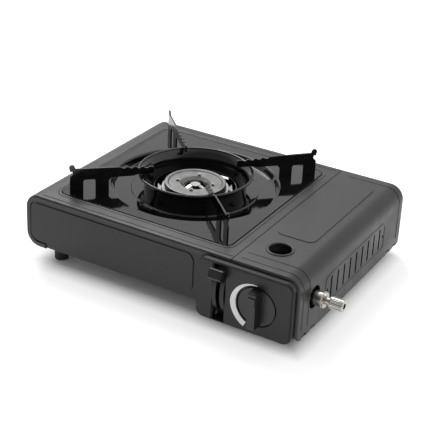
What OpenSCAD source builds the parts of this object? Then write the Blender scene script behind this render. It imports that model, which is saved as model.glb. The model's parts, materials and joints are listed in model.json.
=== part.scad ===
// Portable gas stove for a butane cassette, with a side inlet for a hose.
// X runs from the left side to the cassette side, Y from the front to the back, Z up from the table.
// Places in the modules are measured from the left front corner of the body, on the table.

/* [Body] */
// Width of the whole stove over its two side walls
body_w = 340; // [320:1:380]
// Depth of the body from front to back
body_d = 262; // [256:1:300]
// Height of the top sheet above the table
top_z = 85; // [82:1:96]
// Thickness of the painted steel sheet
sheet_t = 1; // [0.8:0.1:1.2]
// Radius of the long rolled corners of the housing and the lid
corner_r = 17; // [14:1:20]
// Radius of the pressed front and back edges
edge_r = 2.4; // [1.6:0.2:3]
// Width of the turned-in rim on the front and the back
rim_w = 6; // [5:0.5:8]
// Height of the burner floor above the table
floor_z = 22; // [20:0.5:24]
// Length of the housing's turned-under bottom lip beyond its rolled corner
bottom_lip = 9; // [6:1:14]

/* [Pressed beads] */
// Radius of the pressed beads
bead_r = 1.5; // [1:0.1:2]
// Height of a bead above its sheet
bead_rise = 0.6; // [0.3:0.1:0.8]
// Distance of the bead loop from the edge of the pan opening
bead_gap = 3; // [2.5:0.5:4]
// Distance of the outer back bead from the back of the body
bead_back = 7; // [5:0.5:9]
// Distance between two neighbouring beads
bead_pitch = 7.5; // [6:0.5:10]

/* [Pan opening] */
// Distance from the left side to the pan opening
well_left = 29.5; // [26:0.5:34]
// Distance from the front to the pan opening
well_front = 20.5; // [19:0.5:24]
// Width of the pan opening
well_w = 218.5; // [210:0.5:220]
// Depth of the pan opening
well_d = 221; // [212:0.5:222]
// Corner radius of the pan opening
well_r = 9; // [6:0.5:14]
// Depth of the ledge that carries the pan
ledge_drop = 5; // [4:0.5:7]
// Width of the ledge
ledge_w = 7; // [5:0.5:9]

/* [Drip pan] */
// Gap between the pan and its opening
pan_gap = 1.2; // [0.8:0.1:2]
// Thickness of the enamelled sheet
pan_t = 1.1; // [0.8:0.1:1.4]
// Height of the pan's flange above the top sheet
pan_rise = 0.5; // [0.3:0.1:1]
// Radius of the round dish
dish_r = 96.7; // [90:0.5:99]
// Depth of the dish below the flange
dish_drop = 7.5; // [6:0.1:8.5]
// Width of the sloping dish wall
dish_slope = 6.5; // [4:0.5:9]
// Radius where the dish floor steps up to the ring seat
step_r = 73; // [70:0.5:76]
// Height of the ring seat above the dish floor
step_rise = 1; // [0.8:0.1:1.6]
// Radius of the middle opening
hole_r = 46; // [44:0.5:50]
// Width of the seat's inner curb
curb_w = 5; // [4:0.5:7]
// Height of the inner curb above the ring seat
curb_rise = 2; // [1:0.1:3]

/* [Wind ring] */
// Radius of the flared rim
ring_r = 66; // [62:0.5:69]
// Height of the rim above the table
ring_z = 100; // [96:0.5:104]
// Radius at the foot of the ring
ring_foot_r = 58; // [55:0.5:61]
// Thickness of the ring's sheet
ring_t = 1.3; // [1:0.1:2]
// Height of the ring's straight lower wall
ring_wall = 9; // [7:0.5:12]
// Radius of the rolled rim
ring_lip_r = 1.5; // [1.2:0.1:2]

/* [Pan supports] */
// Distance from the burner axis to the outer end of a support
arm_out = 142.5; // [138:0.5:144]
// Distance from the burner axis to the inner end of a support
arm_in = 48; // [46:0.5:52]
// Height of the support's outer top edge above the table
arm_z = 112; // [108:0.5:116]
// Fall of the top edge towards the burner
arm_fall = 3.2; // [2:0.1:5]
// Height of the end nub above the top edge
nub_rise = 4.6; // [3:0.1:6]
// Radius of the end nub
nub_r = 3.3; // [2.5:0.1:4]
// Depth of the support's bar at the inner leg
bar_h = 13; // [12:0.2:14]
// Thickness of the support plate
arm_t = 2; // [1.6:0.1:2.4]
// Width of each leg
leg_w = 15; // [12:0.5:16]
// Width of the window between the two legs
window_w = 13.5; // [11:0.5:15]
// Height of the window above the pan
window_h = 12.5; // [10:0.5:13]
// Radius of the window's top corners
window_r = 2.4; // [1.5:0.1:4]
// Distance between the anti-slip teeth
tooth_pitch = 8.6; // [8:0.1:9]
// Radius of the dips between the teeth
tooth_r = 3.6; // [3:0.1:4]
// Depth of the dips
tooth_dip = 1.5; // [1:0.1:1.6]

/* [Burner] */
// Radius of the burner cap
cap_r = 34.9; // [33:0.1:36]
// Height of the cap's rim above the table
cap_z = 86.1; // [85:0.1:88]
// Width of the cap's raised rim
cap_rim_w = 4.4; // [3.5:0.1:5]
// Depth of the cap's face below its rim
cap_face_drop = 1.5; // [1:0.1:2]
// Radius of the cap's middle opening
cap_hole_r = 13.4; // [12:0.1:14.5]
// Width of the cap's dished collar round the opening
cap_collar_w = 4; // [3:0.1:4.5]
// Depth of the collar below the cap's face
cap_collar_drop = 3.2; // [2:0.1:4]
// Height of the cap's outer wall
cap_h = 7; // [6:0.2:8]
// Thickness of the cap's metal
cap_t = 1.6; // [1.2:0.1:2]
// Number of flame ports
port_n = 36; // [30:1:40]
// Width of a flame port
port_w = 1.8; // [1.4:0.1:2.2]
// Height of a flame port
port_h = 3; // [2:0.1:3.5]
// Radius of the burner bowl
bowl_r = 38; // [37:0.1:39]
// Radius of the bowl's floor
bowl_floor_r = 24; // [22:0.5:27]
// Height of the bowl's floor above the table
bowl_z = 36; // [34:0.5:38]
// Thickness of the bowl's wall
bowl_t = 1.5; // [1.2:0.1:2]
// Radius of the mixing tube's bore
tube_bore = 7; // [6:0.1:7.5]
// Wall of the mixing tube
tube_t = 1.5; // [1.2:0.1:2]
// Distance from the burner axis to the mouth of the mixing tube
tube_reach = 96; // [92:1:98]
// Number of rivets in the cap
rivet_n = 4; // [3:1:6]
// Distance of the rivets from the burner axis
rivet_place_r = 20.3; // [20:0.1:22]
// Radius of a rivet head
rivet_r = 2.3; // [1.8:0.1:2.4]
// Height of a rivet head
rivet_h = 2.2; // [1.4:0.1:2.4]

/* [Lid] */
// Width of the cassette lid across the top
lid_w = 78; // [76:0.5:80]
// Gap between the lid and the housing
seam_gap = 0.9; // [0.6:0.1:1.4]
// Height of the lid's lower edge above the table
lid_z = 13; // [12:0.5:14]
// Radius of the lid's lower corners
lid_foot_r = 9; // [6:0.5:11]
// Distance of the sight hole from the lid's side wall
sight_x = 47.5; // [44:0.5:50]
// Distance of the sight hole from the front
sight_y = 46.5; // [44:0.5:50]
// Radius of the sight hole
sight_r = 11.8; // [10:0.1:12.5]
// Distance from the lid's side wall to its raised top field
field_side = 25; // [23:0.5:28]
// Width of the lid's raised top field
field_w = 44.5; // [40:0.5:45]
// Distance of the raised field from the front
field_front = 76; // [72:0.5:82]
// Length of the raised field
field_d = 161; // [150:0.5:164]
// Number of vent slots in the lid's side
vent_n = 9; // [7:1:9]
// Distance between the vent slots
vent_pitch = 15.4; // [14:0.1:15.6]
// Width of a vent slot
vent_w = 3.4; // [2.5:0.1:4]
// Height of a vent slot
vent_h = 26; // [20:0.5:27]
// Distance of the first vent slot from the front
vent_y = 74.7; // [74:0.1:77]
// Height of the middle of the vent slots above the table
vent_z = 44; // [42:0.5:46]
// Radius of the small hole at each end of the vent slots
pip_r = 1.8; // [1.2:0.1:2.2]

/* [Hinge] */
// Radius of the hinge pin
pin_r = 1.25; // [1:0.05:1.5]
// Running clearance between the pin and its knuckles
pin_gap = 0.06; // [0.04:0.01:0.1]
// Radius of the rolled knuckles
knuckle_r = 2.5; // [2.3:0.1:2.8]
// Length of one knuckle
knuckle_l = 9; // [7:0.5:10]
// Distance of the hinge axis inside the lid's side face
hinge_in = 3.2; // [3:0.1:3.6]
// Distance from the front or the back to the first knuckle
hinge_end = 11; // [10:0.5:16]
// Gap between neighbouring knuckles
knuckle_gap = 0.4; // [0.3:0.05:0.6]

/* [Control panel] */
// Width of the control panel
panel_w = 110; // [108:0.5:111]
// Distance from the lid's side face to the control panel
panel_side = 3.5; // [3:0.1:5]
// Height of the control panel
panel_h = 69; // [66:0.5:70]
// Height of the control panel's lower edge above the table
panel_z = 12.6; // [12:0.1:14]
// How far the control panel stands out from the body
panel_out = 8; // [7:0.1:9]
// Thickness of the control panel's wall
panel_t = 2; // [1.6:0.1:2.2]
// Corner radius of the control panel
panel_r = 9; // [7:0.5:11]
// Running gap between the control panel and the body
panel_gap = 0.4; // [0.3:0.05:0.6]
// Radius of the knob's well
well_knob_r = 22.6; // [22:0.1:24]
// Depth of the knob's well
well_knob_drop = 3; // [2.5:0.1:3.4]
// Distance of the knob's axis from the lid's side face
knob_side = 43; // [42:0.5:45]
// Height of the knob's axis above the table
knob_z = 45.5; // [44:0.1:47]

/* [Knob] */
// Radius of the knob's skirt
knob_r = 21.7; // [20:0.1:22]
// Height of the knob's skirt
skirt_h = 2.6; // [2:0.1:3]
// Width of the knob's grip bar
grip_w = 11; // [9:0.1:13]
// How far the grip stands out from the skirt
grip_out = 12.5; // [10:0.1:14]
// Radius of the valve spindle
spindle_r = 3; // [2.6:0.1:3.4]
// Running clearance round the spindle
spindle_gap = 0.06; // [0.04:0.01:0.1]
// Thickness of the printed flame scale
scale_t = 0.3; // [0.2:0.05:0.4]

/* [Cassette lever] */
// Distance of the lever's plate from the lid's side face
lever_side = 87; // [86:0.5:89]
// Radius of the curved track from the lever's pivot
track_r = 42.5; // [40:0.5:44]
// How far the curved track stands out from the panel
track_bulge = 2; // [1:0.1:3]
// Half of the angle that the curved track spans
track_turn = 49; // [46:0.5:49]
// Width of the curved track
track_w = 14; // [12:0.5:15]
// Width of the lever's slot
slot_w = 4.6; // [4:0.1:5.4]
// Thickness of the lever plate
lever_t = 2; // [1.6:0.1:2.4]
// Radius of the lever's pivot pin
pivot_r = 2.5; // [2:0.1:3]
// Width of the lever's finger grip
tab_w = 15; // [12:0.5:16]
// Height of the lever's finger grip
tab_h = 11.5; // [10:0.5:12]
// Angle of the lever above and below the level of its pivot
lever_turn = 27; // [24:0.5:28]

/* [Cassette bay] */
// Diameter of the gas cassette that the bay takes
cassette_d = 66; // [62:0.5:66]
// Length of the gas cassette
cassette_l = 185; // [180:0.5:186]
// Distance of the cassette's front from the front of the body
cassette_y = 52; // [50:0.5:54]
// Room between the cassette and the lid or the bay floor
cassette_gap = 2; // [1.5:0.1:2.5]
// Travel of the cassette pusher
push_travel = 8; // [7.5:0.1:8.5]

/* [Gas inlet] */
// Distance of the inlet's axis from the front
inlet_y = 35; // [34:0.5:37]
// Height of the inlet's axis above the table
inlet_z = 51; // [49:0.5:52]
// Radius of the hole in the lid for the inlet
inlet_hole_r = 12.4; // [11:0.1:13]
// Radius of the fixed inlet stub
stub_r = 8.1; // [7.5:0.1:8.5]
// How far the stub stands out from the lid
stub_out = 10; // [8:0.5:11]
// Radius of the seal washer
washer_r = 8.7; // [8.2:0.1:9]
// Radius of the hose tail's neck
neck_r = 4.2; // [3.8:0.1:4.6]
// Length of the neck
neck_l = 8; // [6:0.5:10]
// Radius of the fluted end
tail_r = 6.5; // [6:0.1:7]
// Length of the fluted end
tail_l = 15; // [12:0.5:18]
// Radius of the bore in the tail's tip
tail_bore = 3.1; // [2.8:0.1:3.4]
// Number of flutes on the tail
flute_n = 14; // [12:1:18]

/* [Feet] */
// Radius of a rubber foot
foot_r = 8; // [7:0.5:9]
// Distance of the left feet from the left side
foot_left = 28; // [28:0.5:34]
// Distance of the right feet from the right side
foot_right = 30; // [28:0.5:40]
// Distance of the feet from the front and the back
foot_end = 27; // [24:0.5:32]

/* [Hidden] */
$fn = 64;

// Overrun of every cut
cut = 0.5;
// Air between two parts that stand close without touching
air = 0.3;
// Smallest sensible edge on a small part
small = 0.6;

seam_x = body_w - lid_w;
burner_x = well_left + well_w / 2;
burner_y = well_front + well_d / 2;
side_x = body_w - sheet_t;
knob_x = body_w - knob_side;
lever_x = body_w - lever_side;
panel_x1 = body_w - panel_side;
panel_x0 = panel_x1 - panel_w;
partition_x = seam_x - sheet_t - small;
igniter_x = knob_x - 18;
hinge_x = body_w - hinge_in;
hinge_z = lid_z + small;
bay_x = body_w - sheet_t - cassette_d / 2 - 4 * cassette_gap;
bay_top = top_z - sheet_t - cassette_gap;
bay_z = bay_top - cassette_d / 2;
bay_floor_z = bay_z - cassette_d / 2 - cassette_gap;
pivot_y = track_r - panel_out - track_bulge;
pivot_z = panel_z + panel_h / 2;
track_h = 2 * track_r * sin(track_turn);
track_foot_y = pivot_y - track_r * cos(track_turn);
arm_h = 8;
slot_turn = lever_turn + asin((arm_h / 2 + small) / track_r);
tail_tip = body_w + stub_out + neck_l + tail_l;
knob_front = -panel_out - grip_out;
origin_x = tail_tip / 2;
origin_y = (body_d + knob_front) / 2;

// Puts a part drawn from the body's corner into the stove's own frame.
module place() {
  translate([-origin_x, -origin_y, 0])
  children();
}

// Rectangle with round corners between two opposite corners.
module round_rect(x0, y0, x1, y1, r) {
  translate([x0 + r, y0])
  square([x1 - x0 - 2 * r, y1 - y0]);
  translate([x0, y0 + r])
  square([x1 - x0, y1 - y0 - 2 * r]);
  for (x = [x0 + r, x1 - r], y = [y0 + r, y1 - r])
    translate([x, y])
    circle(r);
}

// Lays a flat drawing of X and Z so that it stands at y and grows backwards by its depth.
module stand(y, depth) {
  translate([0, y + depth, 0])
  rotate([90, 0, 0])
  linear_extrude(depth)
  children();
}

// Section of a pressed sheet channel: first axis inwards from the outer face, second along the depth.
module channel(rim) {
  difference() {
    union() {
      translate([edge_r, 0])
      square([rim - edge_r, body_d]);
      translate([0, edge_r])
      square([edge_r, body_d - 2 * edge_r]);
      for (y = [edge_r, body_d - edge_r])
        translate([edge_r, y])
        circle(edge_r);
    }
    translate([edge_r, sheet_t])
    square([rim, body_d - 2 * sheet_t]);
    translate([sheet_t, edge_r])
    square([rim, body_d - 2 * edge_r]);
    for (y = [edge_r, body_d - edge_r])
      translate([edge_r, y])
      circle(edge_r - sheet_t);
  }
}

// Channel bent round a long corner: axis at x and z, starting at an angle.
module channel_bend(x, z, start, rim) {
  translate([x, 0, z])
  rotate([-90, 0, 0])
  rotate([0, 0, start])
  rotate_extrude(angle = 90)
  translate([corner_r, 0])
  mirror([1, 0])
  channel(rim);
}

// Channel that runs along X under the top face.
module channel_top(x0, x1, rim) {
  translate([x0, 0, top_z])
  rotate([0, 90, 0])
  linear_extrude(x1 - x0)
  channel(rim);
}

// Straight bead with round ends along X.
module bead_x(x0, x1, y, z) {
  translate([x0, y, z])
  rotate([0, 90, 0])
  cylinder(h = x1 - x0, r = bead_r);
  for (x = [x0, x1])
    translate([x, y, z])
    sphere(bead_r);
}

// Quarter of a ring of bead that lies flat.
module bead_turn(x, y, z, r, start) {
  translate([x, y, z])
  rotate([0, 0, start])
  rotate_extrude(angle = 90)
  translate([r, 0])
  circle(bead_r);
}

// Closed bead round a rectangle, lying flat at height z.
module bead_loop(x0, y0, x1, y1, r, z) {
  for (y = [y0, y1])
    translate([x0 + r, y, z])
    rotate([0, 90, 0])
    cylinder(h = x1 - x0 - 2 * r, r = bead_r);
  for (x = [x0, x1])
    translate([x, y0 + r, z])
    rotate([-90, 0, 0])
    cylinder(h = y1 - y0 - 2 * r, r = bead_r);
  bead_turn(x0 + r, y0 + r, z, r, 180);
  bead_turn(x1 - r, y0 + r, z, r, 270);
  bead_turn(x1 - r, y1 - r, z, r, 0);
  bead_turn(x0 + r, y1 - r, z, r, 90);
}

bead_sink = bead_r - bead_rise;
bead_z = top_z - bead_sink;

// Pressed steel housing: top, left side and the turned-under lip, with the well for the pan.
module main_housing() {
  housing_end = seam_x - seam_gap;
  color("#3a3b3d")
  place() {
    difference() {
      channel_top(corner_r, housing_end, rim_w);
      translate([0, 0, top_z - ledge_drop - sheet_t])
      linear_extrude(ledge_drop + 2 * sheet_t)
      round_rect(well_left, well_front, well_left + well_w, well_front + well_d, well_r);
    }
    channel_bend(corner_r, top_z - corner_r, 180, rim_w);
    translate([0, 0, floor_z + corner_r])
    linear_extrude(top_z - floor_z - 2 * corner_r)
    channel(rim_w);
    channel_bend(corner_r, floor_z + corner_r, 90, rim_w);
    translate([corner_r + bottom_lip, 0, floor_z])
    rotate([0, -90, 0])
    linear_extrude(bottom_lip)
    channel(rim_w);
    well_wall();
    bead_loop(well_left - bead_gap, well_front - bead_gap,
        well_left + well_w + bead_gap, well_front + well_d + bead_gap,
        well_r + bead_gap, bead_z);
    for (y = [body_d - bead_back, bead_back])
      bead_x(corner_r + bead_gap, housing_end - bead_gap, y, bead_z);
  }
}

// Wall and ledge of the pan's well.
module well_wall() {
  drop_z = top_z - sheet_t - ledge_drop;
  x1 = well_left + well_w;
  y1 = well_front + well_d;
  difference() {
    translate([0, 0, drop_z])
    linear_extrude(ledge_drop + sheet_t / 2)
    round_rect(well_left - sheet_t, well_front - sheet_t, x1 + sheet_t, y1 + sheet_t,
        well_r + sheet_t);
    translate([0, 0, drop_z + sheet_t])
    linear_extrude(ledge_drop + sheet_t)
    round_rect(well_left, well_front, x1, y1, well_r);
    translate([0, 0, drop_z - cut])
    linear_extrude(sheet_t + 2 * cut)
    round_rect(well_left + ledge_w, well_front + ledge_w, x1 - ledge_w, y1 - ledge_w,
        well_r);
  }
}

plate_y = sheet_t + air;
plate_back_y = body_d - 2 * sheet_t - air;
plate_top = top_z - sheet_t - air;
fold_gap = 1.1;

// Outline of the front and back plates, seen from the front.
module plate_outline() {
  inner_r = corner_r - sheet_t - fold_gap;
  left = sheet_t + fold_gap;
  low = floor_z + sheet_t + fold_gap;
  plate_right = side_x - fold_gap;
  top = top_z - sheet_t - fold_gap;
  difference() {
    union() {
      round_rect(left, low, plate_right, top, inner_r);
      translate([seam_x, bay_floor_z])
      square([plate_right - seam_x - knuckle_r, top - bay_floor_z - inner_r]);
      translate([seam_x, low])
      square([plate_right - seam_x, top - low - inner_r]);
    }
    translate([hinge_x, hinge_z])
    circle(2 * knuckle_r);
  }
}

// Front plate with its raised field and the holes for the spindle, the lever and the screws.
module front_plate() {
  field_x0 = rim_w + small;
  field_x1 = panel_x0 - 2 * well_r / 2 - small;
  field_z0 = floor_z + panel_out;
  field_z1 = top_z - rim_w - sheet_t - 4 * small;
  color("#343536")
  place()
  difference() {
    union() {
      stand(plate_y, sheet_t)
      plate_outline();
      stand(plate_y - sheet_t, sheet_t + cut)
      round_rect(field_x0, field_z0, field_x1, field_z1, well_r);
    }
    translate([knob_x, -cut, knob_z])
    rotate([-90, 0, 0])
    cylinder(h = 4 * sheet_t, r = spindle_r + panel_t);
    translate([lever_x - track_w / 2 - small, -cut, pivot_z - track_h / 2 - small])
    cube([track_w + 2 * small, 4 * sheet_t, track_h + 2 * small]);
    for (p = panel_screw_places)
      translate([p[0], -cut, p[1]])
      rotate([-90, 0, 0])
      cylinder(h = 4 * sheet_t, r = screw_r + air);
  }
}

// Back plate with a row of air slots low down behind the burner.
module back_plate() {
  slot_n = 8;
  slot_pitch = well_w / (slot_n + 1);
  slot_h = panel_out;
  color("#343536")
  place()
  difference() {
    stand(plate_back_y, sheet_t)
    plate_outline();
    for (i = [1:slot_n])
      stand(plate_back_y - cut, sheet_t + 2 * cut)
      round_rect(well_left + i * slot_pitch - slot_h, floor_z + slot_h,
          well_left + i * slot_pitch + slot_h,
          floor_z + slot_h + vent_w, vent_w / 2 - air / 2);
    for (p = back_screw_places)
      translate([p[0], plate_back_y - cut, p[1]])
      rotate([-90, 0, 0])
      cylinder(h = sheet_t + 2 * cut, r = screw_r + air);
  }
}

screw_r = 1.5;
screw_head_r = 2.8;
screw_head_h = 1.3;
screw_inset = 12;
panel_screw_places = [
    [panel_x0 + screw_inset / 2, pivot_z + track_r / 2],
    [panel_x1 - screw_inset, top_z - screw_inset],
    [panel_x1 - screw_inset, bay_floor_z + screw_inset]
  ];
back_screw_places = [
    [corner_r, top_z - corner_r],
    [corner_r, floor_z + corner_r],
    [seam_x - screw_inset, floor_z + screw_inset / 2]
  ];

tray_y0 = plate_y + sheet_t + air;
tray_y1 = plate_back_y - air;
tray_z = floor_z + sheet_t;

// Floor under the burner, with its air slots and the step down beside the cassette bay.
module burner_floor() {
  row_n = 5;
  row_pitch = (body_d - 2 * foot_end) / (row_n + 1);
  color("#4a4b4d")
  place()
  difference() {
    union() {
      translate([corner_r, tray_y0, tray_z])
      cube([seam_x - corner_r, tray_y1 - tray_y0, sheet_t]);
      for (y = [tray_y0, tray_y1 - sheet_t])
        translate([corner_r, y, tray_z])
        cube([seam_x - corner_r, sheet_t, panel_out]);
      translate([seam_x - sheet_t, tray_y0, bay_floor_z])
      cube([sheet_t, tray_y1 - tray_y0, tray_z - bay_floor_z + sheet_t]);
    }
    for (i = [1:row_n], x = [burner_x - hole_r, burner_x, burner_x + hole_r])
      translate([x, foot_end + i * row_pitch, tray_z - cut])
      linear_extrude(sheet_t + 2 * cut)
      round_rect(-screw_inset, -vent_w / 2, screw_inset, vent_w / 2,
          vent_w / 2 - air / 2);
    for (y = [foot_end, body_d - foot_end])
      translate([foot_left, y, tray_z - cut])
      cylinder(h = sheet_t + 2 * cut, r = screw_r + air);
    translate([lever_x - lever_t / 2 - small, tray_y0 - cut, tray_z + sheet_t])
    cube([lever_t + 2 * small, sheet_t + 2 * cut, panel_out]);
  }
}

// Floor of the cassette bay with its two saddles and the fixed hinge knuckles.
module bay_floor() {
  floor_x1 = hinge_x - knuckle_r - small;
  color("#4a4b4d")
  place()
  difference() {
    union() {
      translate([seam_x, tray_y0, bay_floor_z])
      cube([floor_x1 - seam_x, tray_y1 - tray_y0, sheet_t]);
      for (y = [cassette_y + cassette_l * saddle_shares[0],
          cassette_y + cassette_l * saddle_shares[1]])
      saddle(y);
      for (y = hinge_starts)
        for (k = [0, 2])
          fixed_knuckle(y + k * (knuckle_l + knuckle_gap), floor_x1);
    }
    for (y = [foot_end, body_d - foot_end])
      translate([body_w - foot_right, y, bay_floor_z - cut])
      cylinder(h = sheet_t + 2 * cut, r = screw_r + air);
  }
}

saddle_shares = [0.25, 0.75];
hinge_l = 3 * knuckle_l + 2 * knuckle_gap;
hinge_starts = [hinge_end, body_d - hinge_end - hinge_l];

// Pair of low blocks that keep the cassette from rolling.
module saddle(y) {
  reach = cassette_d / 2 - cassette_gap;
  difference() {
    for (s = [-1, 1])
      translate([bay_x + s * reach - screw_head_r, y - screw_head_r, bay_floor_z])
      cube([2 * screw_head_r, 2 * screw_head_r, screw_inset]);
    translate([bay_x, y - screw_inset, bay_z])
    rotate([-90, 0, 0])
    cylinder(h = 2 * screw_inset, r = cassette_d / 2 + cassette_gap / 2);
  }
}

// Knuckle that belongs to the bay floor, with the leaf that joins it.
module fixed_knuckle(y, x0) {
  difference() {
    union() {
      translate([hinge_x, y, hinge_z])
      rotate([-90, 0, 0])
      cylinder(h = knuckle_l, r = knuckle_r);
      translate([x0 - cut, y, bay_floor_z])
      cube([hinge_x - x0 + cut, knuckle_l, sheet_t]);
    }
    translate([hinge_x, y - cut, hinge_z])
    rotate([-90, 0, 0])
    cylinder(h = knuckle_l + 2 * cut, r = pin_r + pin_gap);
  }
}

lead_r = 1.2;
lead_cross = [partition_x, 46, 66];
pipe_r = 2;
pipe_side = 12;
pipe_cross = [partition_x, 44, 33];

// Wall between the burner and the cassette, with the lip that the lid's edge rests on.
module bay_partition() {
  wall_x = partition_x;
  lip_y = bead_back + bead_r + small;
  color("#77797c")
  place()
  difference() {
    union() {
      translate([wall_x, tray_y0 + sheet_t + air, tray_z + sheet_t])
      cube([sheet_t, tray_y1 - tray_y0 - 2 * sheet_t - 2 * air,
          plate_top - tray_z - sheet_t]);
      translate([wall_x - rim_w, lip_y, plate_top - sheet_t])
      cube([2 * rim_w - sheet_t, body_d - 2 * lip_y, sheet_t]);
    }
    translate([wall_x - cut, pipe_cross[1], pipe_cross[2]])
    rotate([0, 90, 0])
    cylinder(h = sheet_t + 2 * cut, r = 2 * pipe_r);
    translate([wall_x - cut, lead_cross[1], lead_cross[2]])
    rotate([0, 90, 0])
    cylinder(h = sheet_t + 2 * cut, r = 2 * lead_r);
    translate([wall_x - cut, pusher_y - push_travel - small, pusher_z - small])
    cube([sheet_t + 2 * cut, push_travel + pusher_t + 2 * small, pusher_h + 2 * small]);
    for (i = [0:4])
      translate([wall_x - cut, body_d / 2 + i * vent_pitch, tray_z + panel_out])
      cube([sheet_t + 2 * cut, vent_w, vent_h / 2]);
  }
}

// Moulded control panel: a shallow box with the knob's well and the curved lever track.
module control_panel() {
  color("#2f3032")
  place()
  difference() {
    union() {
      panel_shell();
      stand_round(knob_x, knob_z, -panel_out + well_knob_drop - panel_t, 2 * panel_t,
          well_knob_r + panel_t);
      lever_track();
      translate([lever_x - track_w / 2, -panel_gap - panel_t, panel_z])
      cube([track_w, panel_gap + panel_t + track_foot_y + panel_t / 2, panel_t]);
      for (p = panel_screw_places)
        stand_round(p[0], p[1], -panel_out + panel_t / 2, panel_out + plate_y - panel_t / 2,
            screw_head_r);
    }
    stand_round(knob_x, knob_z, -panel_out - cut, well_knob_drop + cut, well_knob_r);
    stand_round(knob_x, knob_z, -panel_out - cut, 2 * panel_out, spindle_r + small);
    for (p = panel_screw_places)
      stand_round(p[0], p[1], -panel_out + panel_t, 2 * panel_out, screw_r);
  }
}

// Box of the control panel, with a rounded front edge and the opening for the lever track.
module panel_shell() {
  open_w = track_w + 2 * groove_w;
  open_h = track_h + groove_w;
  difference() {
    union() {
      stand(-panel_out + edge_r, panel_out - edge_r - panel_gap)
      panel_outline(0);
      for (i = [0:panel_steps - 1])
        stand(panel_step_y(i), 2 * edge_r)
        panel_outline(panel_step_in(i));
    }
    stand(-panel_out + panel_t, panel_out)
    panel_outline(panel_t);
    translate([lever_x - open_w / 2, -panel_out - cut, pivot_z - open_h / 2])
    cube([open_w, panel_t + 2 * cut, open_h]);
  }
}

panel_steps = 4;
half_share = 0.5;
groove_w = 1;
groove_deep = 1.2;

// Depth at which one step of the panel's rounded front edge starts.
function panel_step_y(i) = -panel_out + edge_r * (1 - cos(90 * i / panel_steps));

// Inset of the panel's outline on that step.
function panel_step_in(i) = edge_r * (1 - sin(90 * (i + half_share) / panel_steps));

// Outline of the control panel, drawn in by a margin.
module panel_outline(in) {
  round_rect(panel_x0 + in, panel_z + in, panel_x1 - in, panel_z + panel_h - in, panel_r - in);
}

// Disc that stands upright, with its axis from front to back.
module stand_round(x, z, y, depth, r) {
  translate([x, y, z])
  rotate([-90, 0, 0])
  cylinder(h = depth, r = r);
}

// Curved strip in front of the lever's pivot, with the slot that the lever runs in, and the two
// cheeks behind it that close the grooves beside it.
module lever_track() {
  strip_h = track_h + 2 * panel_t;
  strip_w = track_w;
  intersection() {
    difference() {
      translate([lever_x - strip_w / 2, pivot_y, pivot_z])
      rotate([0, 90, 0])
      cylinder(h = strip_w, r = track_r, $fn = 128);
      translate([lever_x - strip_w, pivot_y, pivot_z])
      rotate([0, 90, 0])
      cylinder(h = 2 * strip_w, r = track_r - panel_t, $fn = 128);
      slot_cut();
    }
    translate([lever_x - strip_w, pivot_y - track_r - cut, pivot_z - strip_h / 2])
    cube([2 * strip_w, track_r, strip_h]);
  }
  for (s = [0, 1])
    mirror_at(lever_x, s)
    translate([lever_x + track_w / 2 - air, -panel_out + groove_deep, pivot_z - strip_h / 2])
    cube([air + groove_w + panel_t / 2, panel_out - groove_deep - panel_gap, strip_h]);
}

// Children as they are, or mirrored left to right about a place.
module mirror_at(x, s) {
  translate([x, 0, 0])
  mirror([s, 0, 0])
  translate([-x, 0, 0])
  children();
}

// Wedge that cuts the lever's slot through the curved strip.
module slot_cut() {
  reach = 2 * track_r;
  translate([lever_x - slot_w / 2, pivot_y, pivot_z])
  rotate([0, 90, 0])
  rotate([0, 0, 180])
  linear_extrude(slot_w)
  polygon([[0, 0],
      [-reach * sin(slot_turn), reach * cos(slot_turn)],
      [reach * sin(slot_turn), reach * cos(slot_turn)]]);
}

scale_w = 6;
scale_steps = 36;
scale_start = 0;
scale_turn = 153;
scale_grow_share = 0.6;

// Point of the crescent on one of its steps, at a radius from the knob's axis.
function scale_point(i, r) =
    let (a = scale_start + scale_turn * i / scale_steps)
  [-r * sin(a), r * cos(a)];

// Pale crescent printed on the panel, which widens as the knob opens.
module flame_scale() {
  inner_r = well_knob_r + 2 * small;
  color("#dcdedd")
  place()
  translate([knob_x, 0, knob_z])
  stand(-panel_out - scale_t, scale_t)
  polygon(concat(
      [for (i = [0:scale_steps]) scale_point(i, inner_r)],
      [for (i = [scale_steps:-1:0])
      scale_point(i, inner_r + small / 2
      + scale_w * min(1, i / (scale_grow_share * scale_steps)))]));
}

// Four rubber feet with a sunk hole for the screw.
module feet() {
  color("#1c1c1d")
  place()
  for (p = foot_places)
    difference() {
      union() {
        translate([p[0], p[1], foot_edge])
        cylinder(h = p[2] - foot_edge, r = foot_r);
        translate([p[0], p[1], 0])
        cylinder(h = foot_edge, r = foot_r - foot_edge);
      }
      translate([p[0], p[1], -cut])
      cylinder(h = p[2] - foot_seat + cut, r = screw_head_r + small);
      translate([p[0], p[1], 0])
      cylinder(h = p[2] + cut, r = screw_r + air);
    }
}

foot_edge = 1;
foot_seat = 6;
foot_places = [
    [foot_left, foot_end, floor_z],
    [foot_left, body_d - foot_end, floor_z],
    [body_w - foot_right, foot_end, bay_floor_z],
    [body_w - foot_right, body_d - foot_end, bay_floor_z]
  ];

// Pan-head screws that hold the feet from below.
module foot_screws() {
  color("#b9bbbd")
  place()
  for (p = foot_places)
    translate([p[0], p[1], p[2] - foot_seat])
    mirror([0, 0, 1])
    pan_screw(foot_seat + 3 * sheet_t);
}

// Screw whose head stands up from zero and whose shank runs down by its length.
module pan_screw(length) {
  difference() {
    cylinder(h = screw_head_h, r = screw_head_r);
    for (a = [0, 90])
      rotate([0, 0, a])
      translate([-screw_head_r / 2, -small / 2, screw_head_h / 2])
      cube([screw_head_r, small, screw_head_h]);
  }
  translate([0, 0, -length])
  cylinder(h = length, r = screw_r - pin_gap);
}

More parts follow.
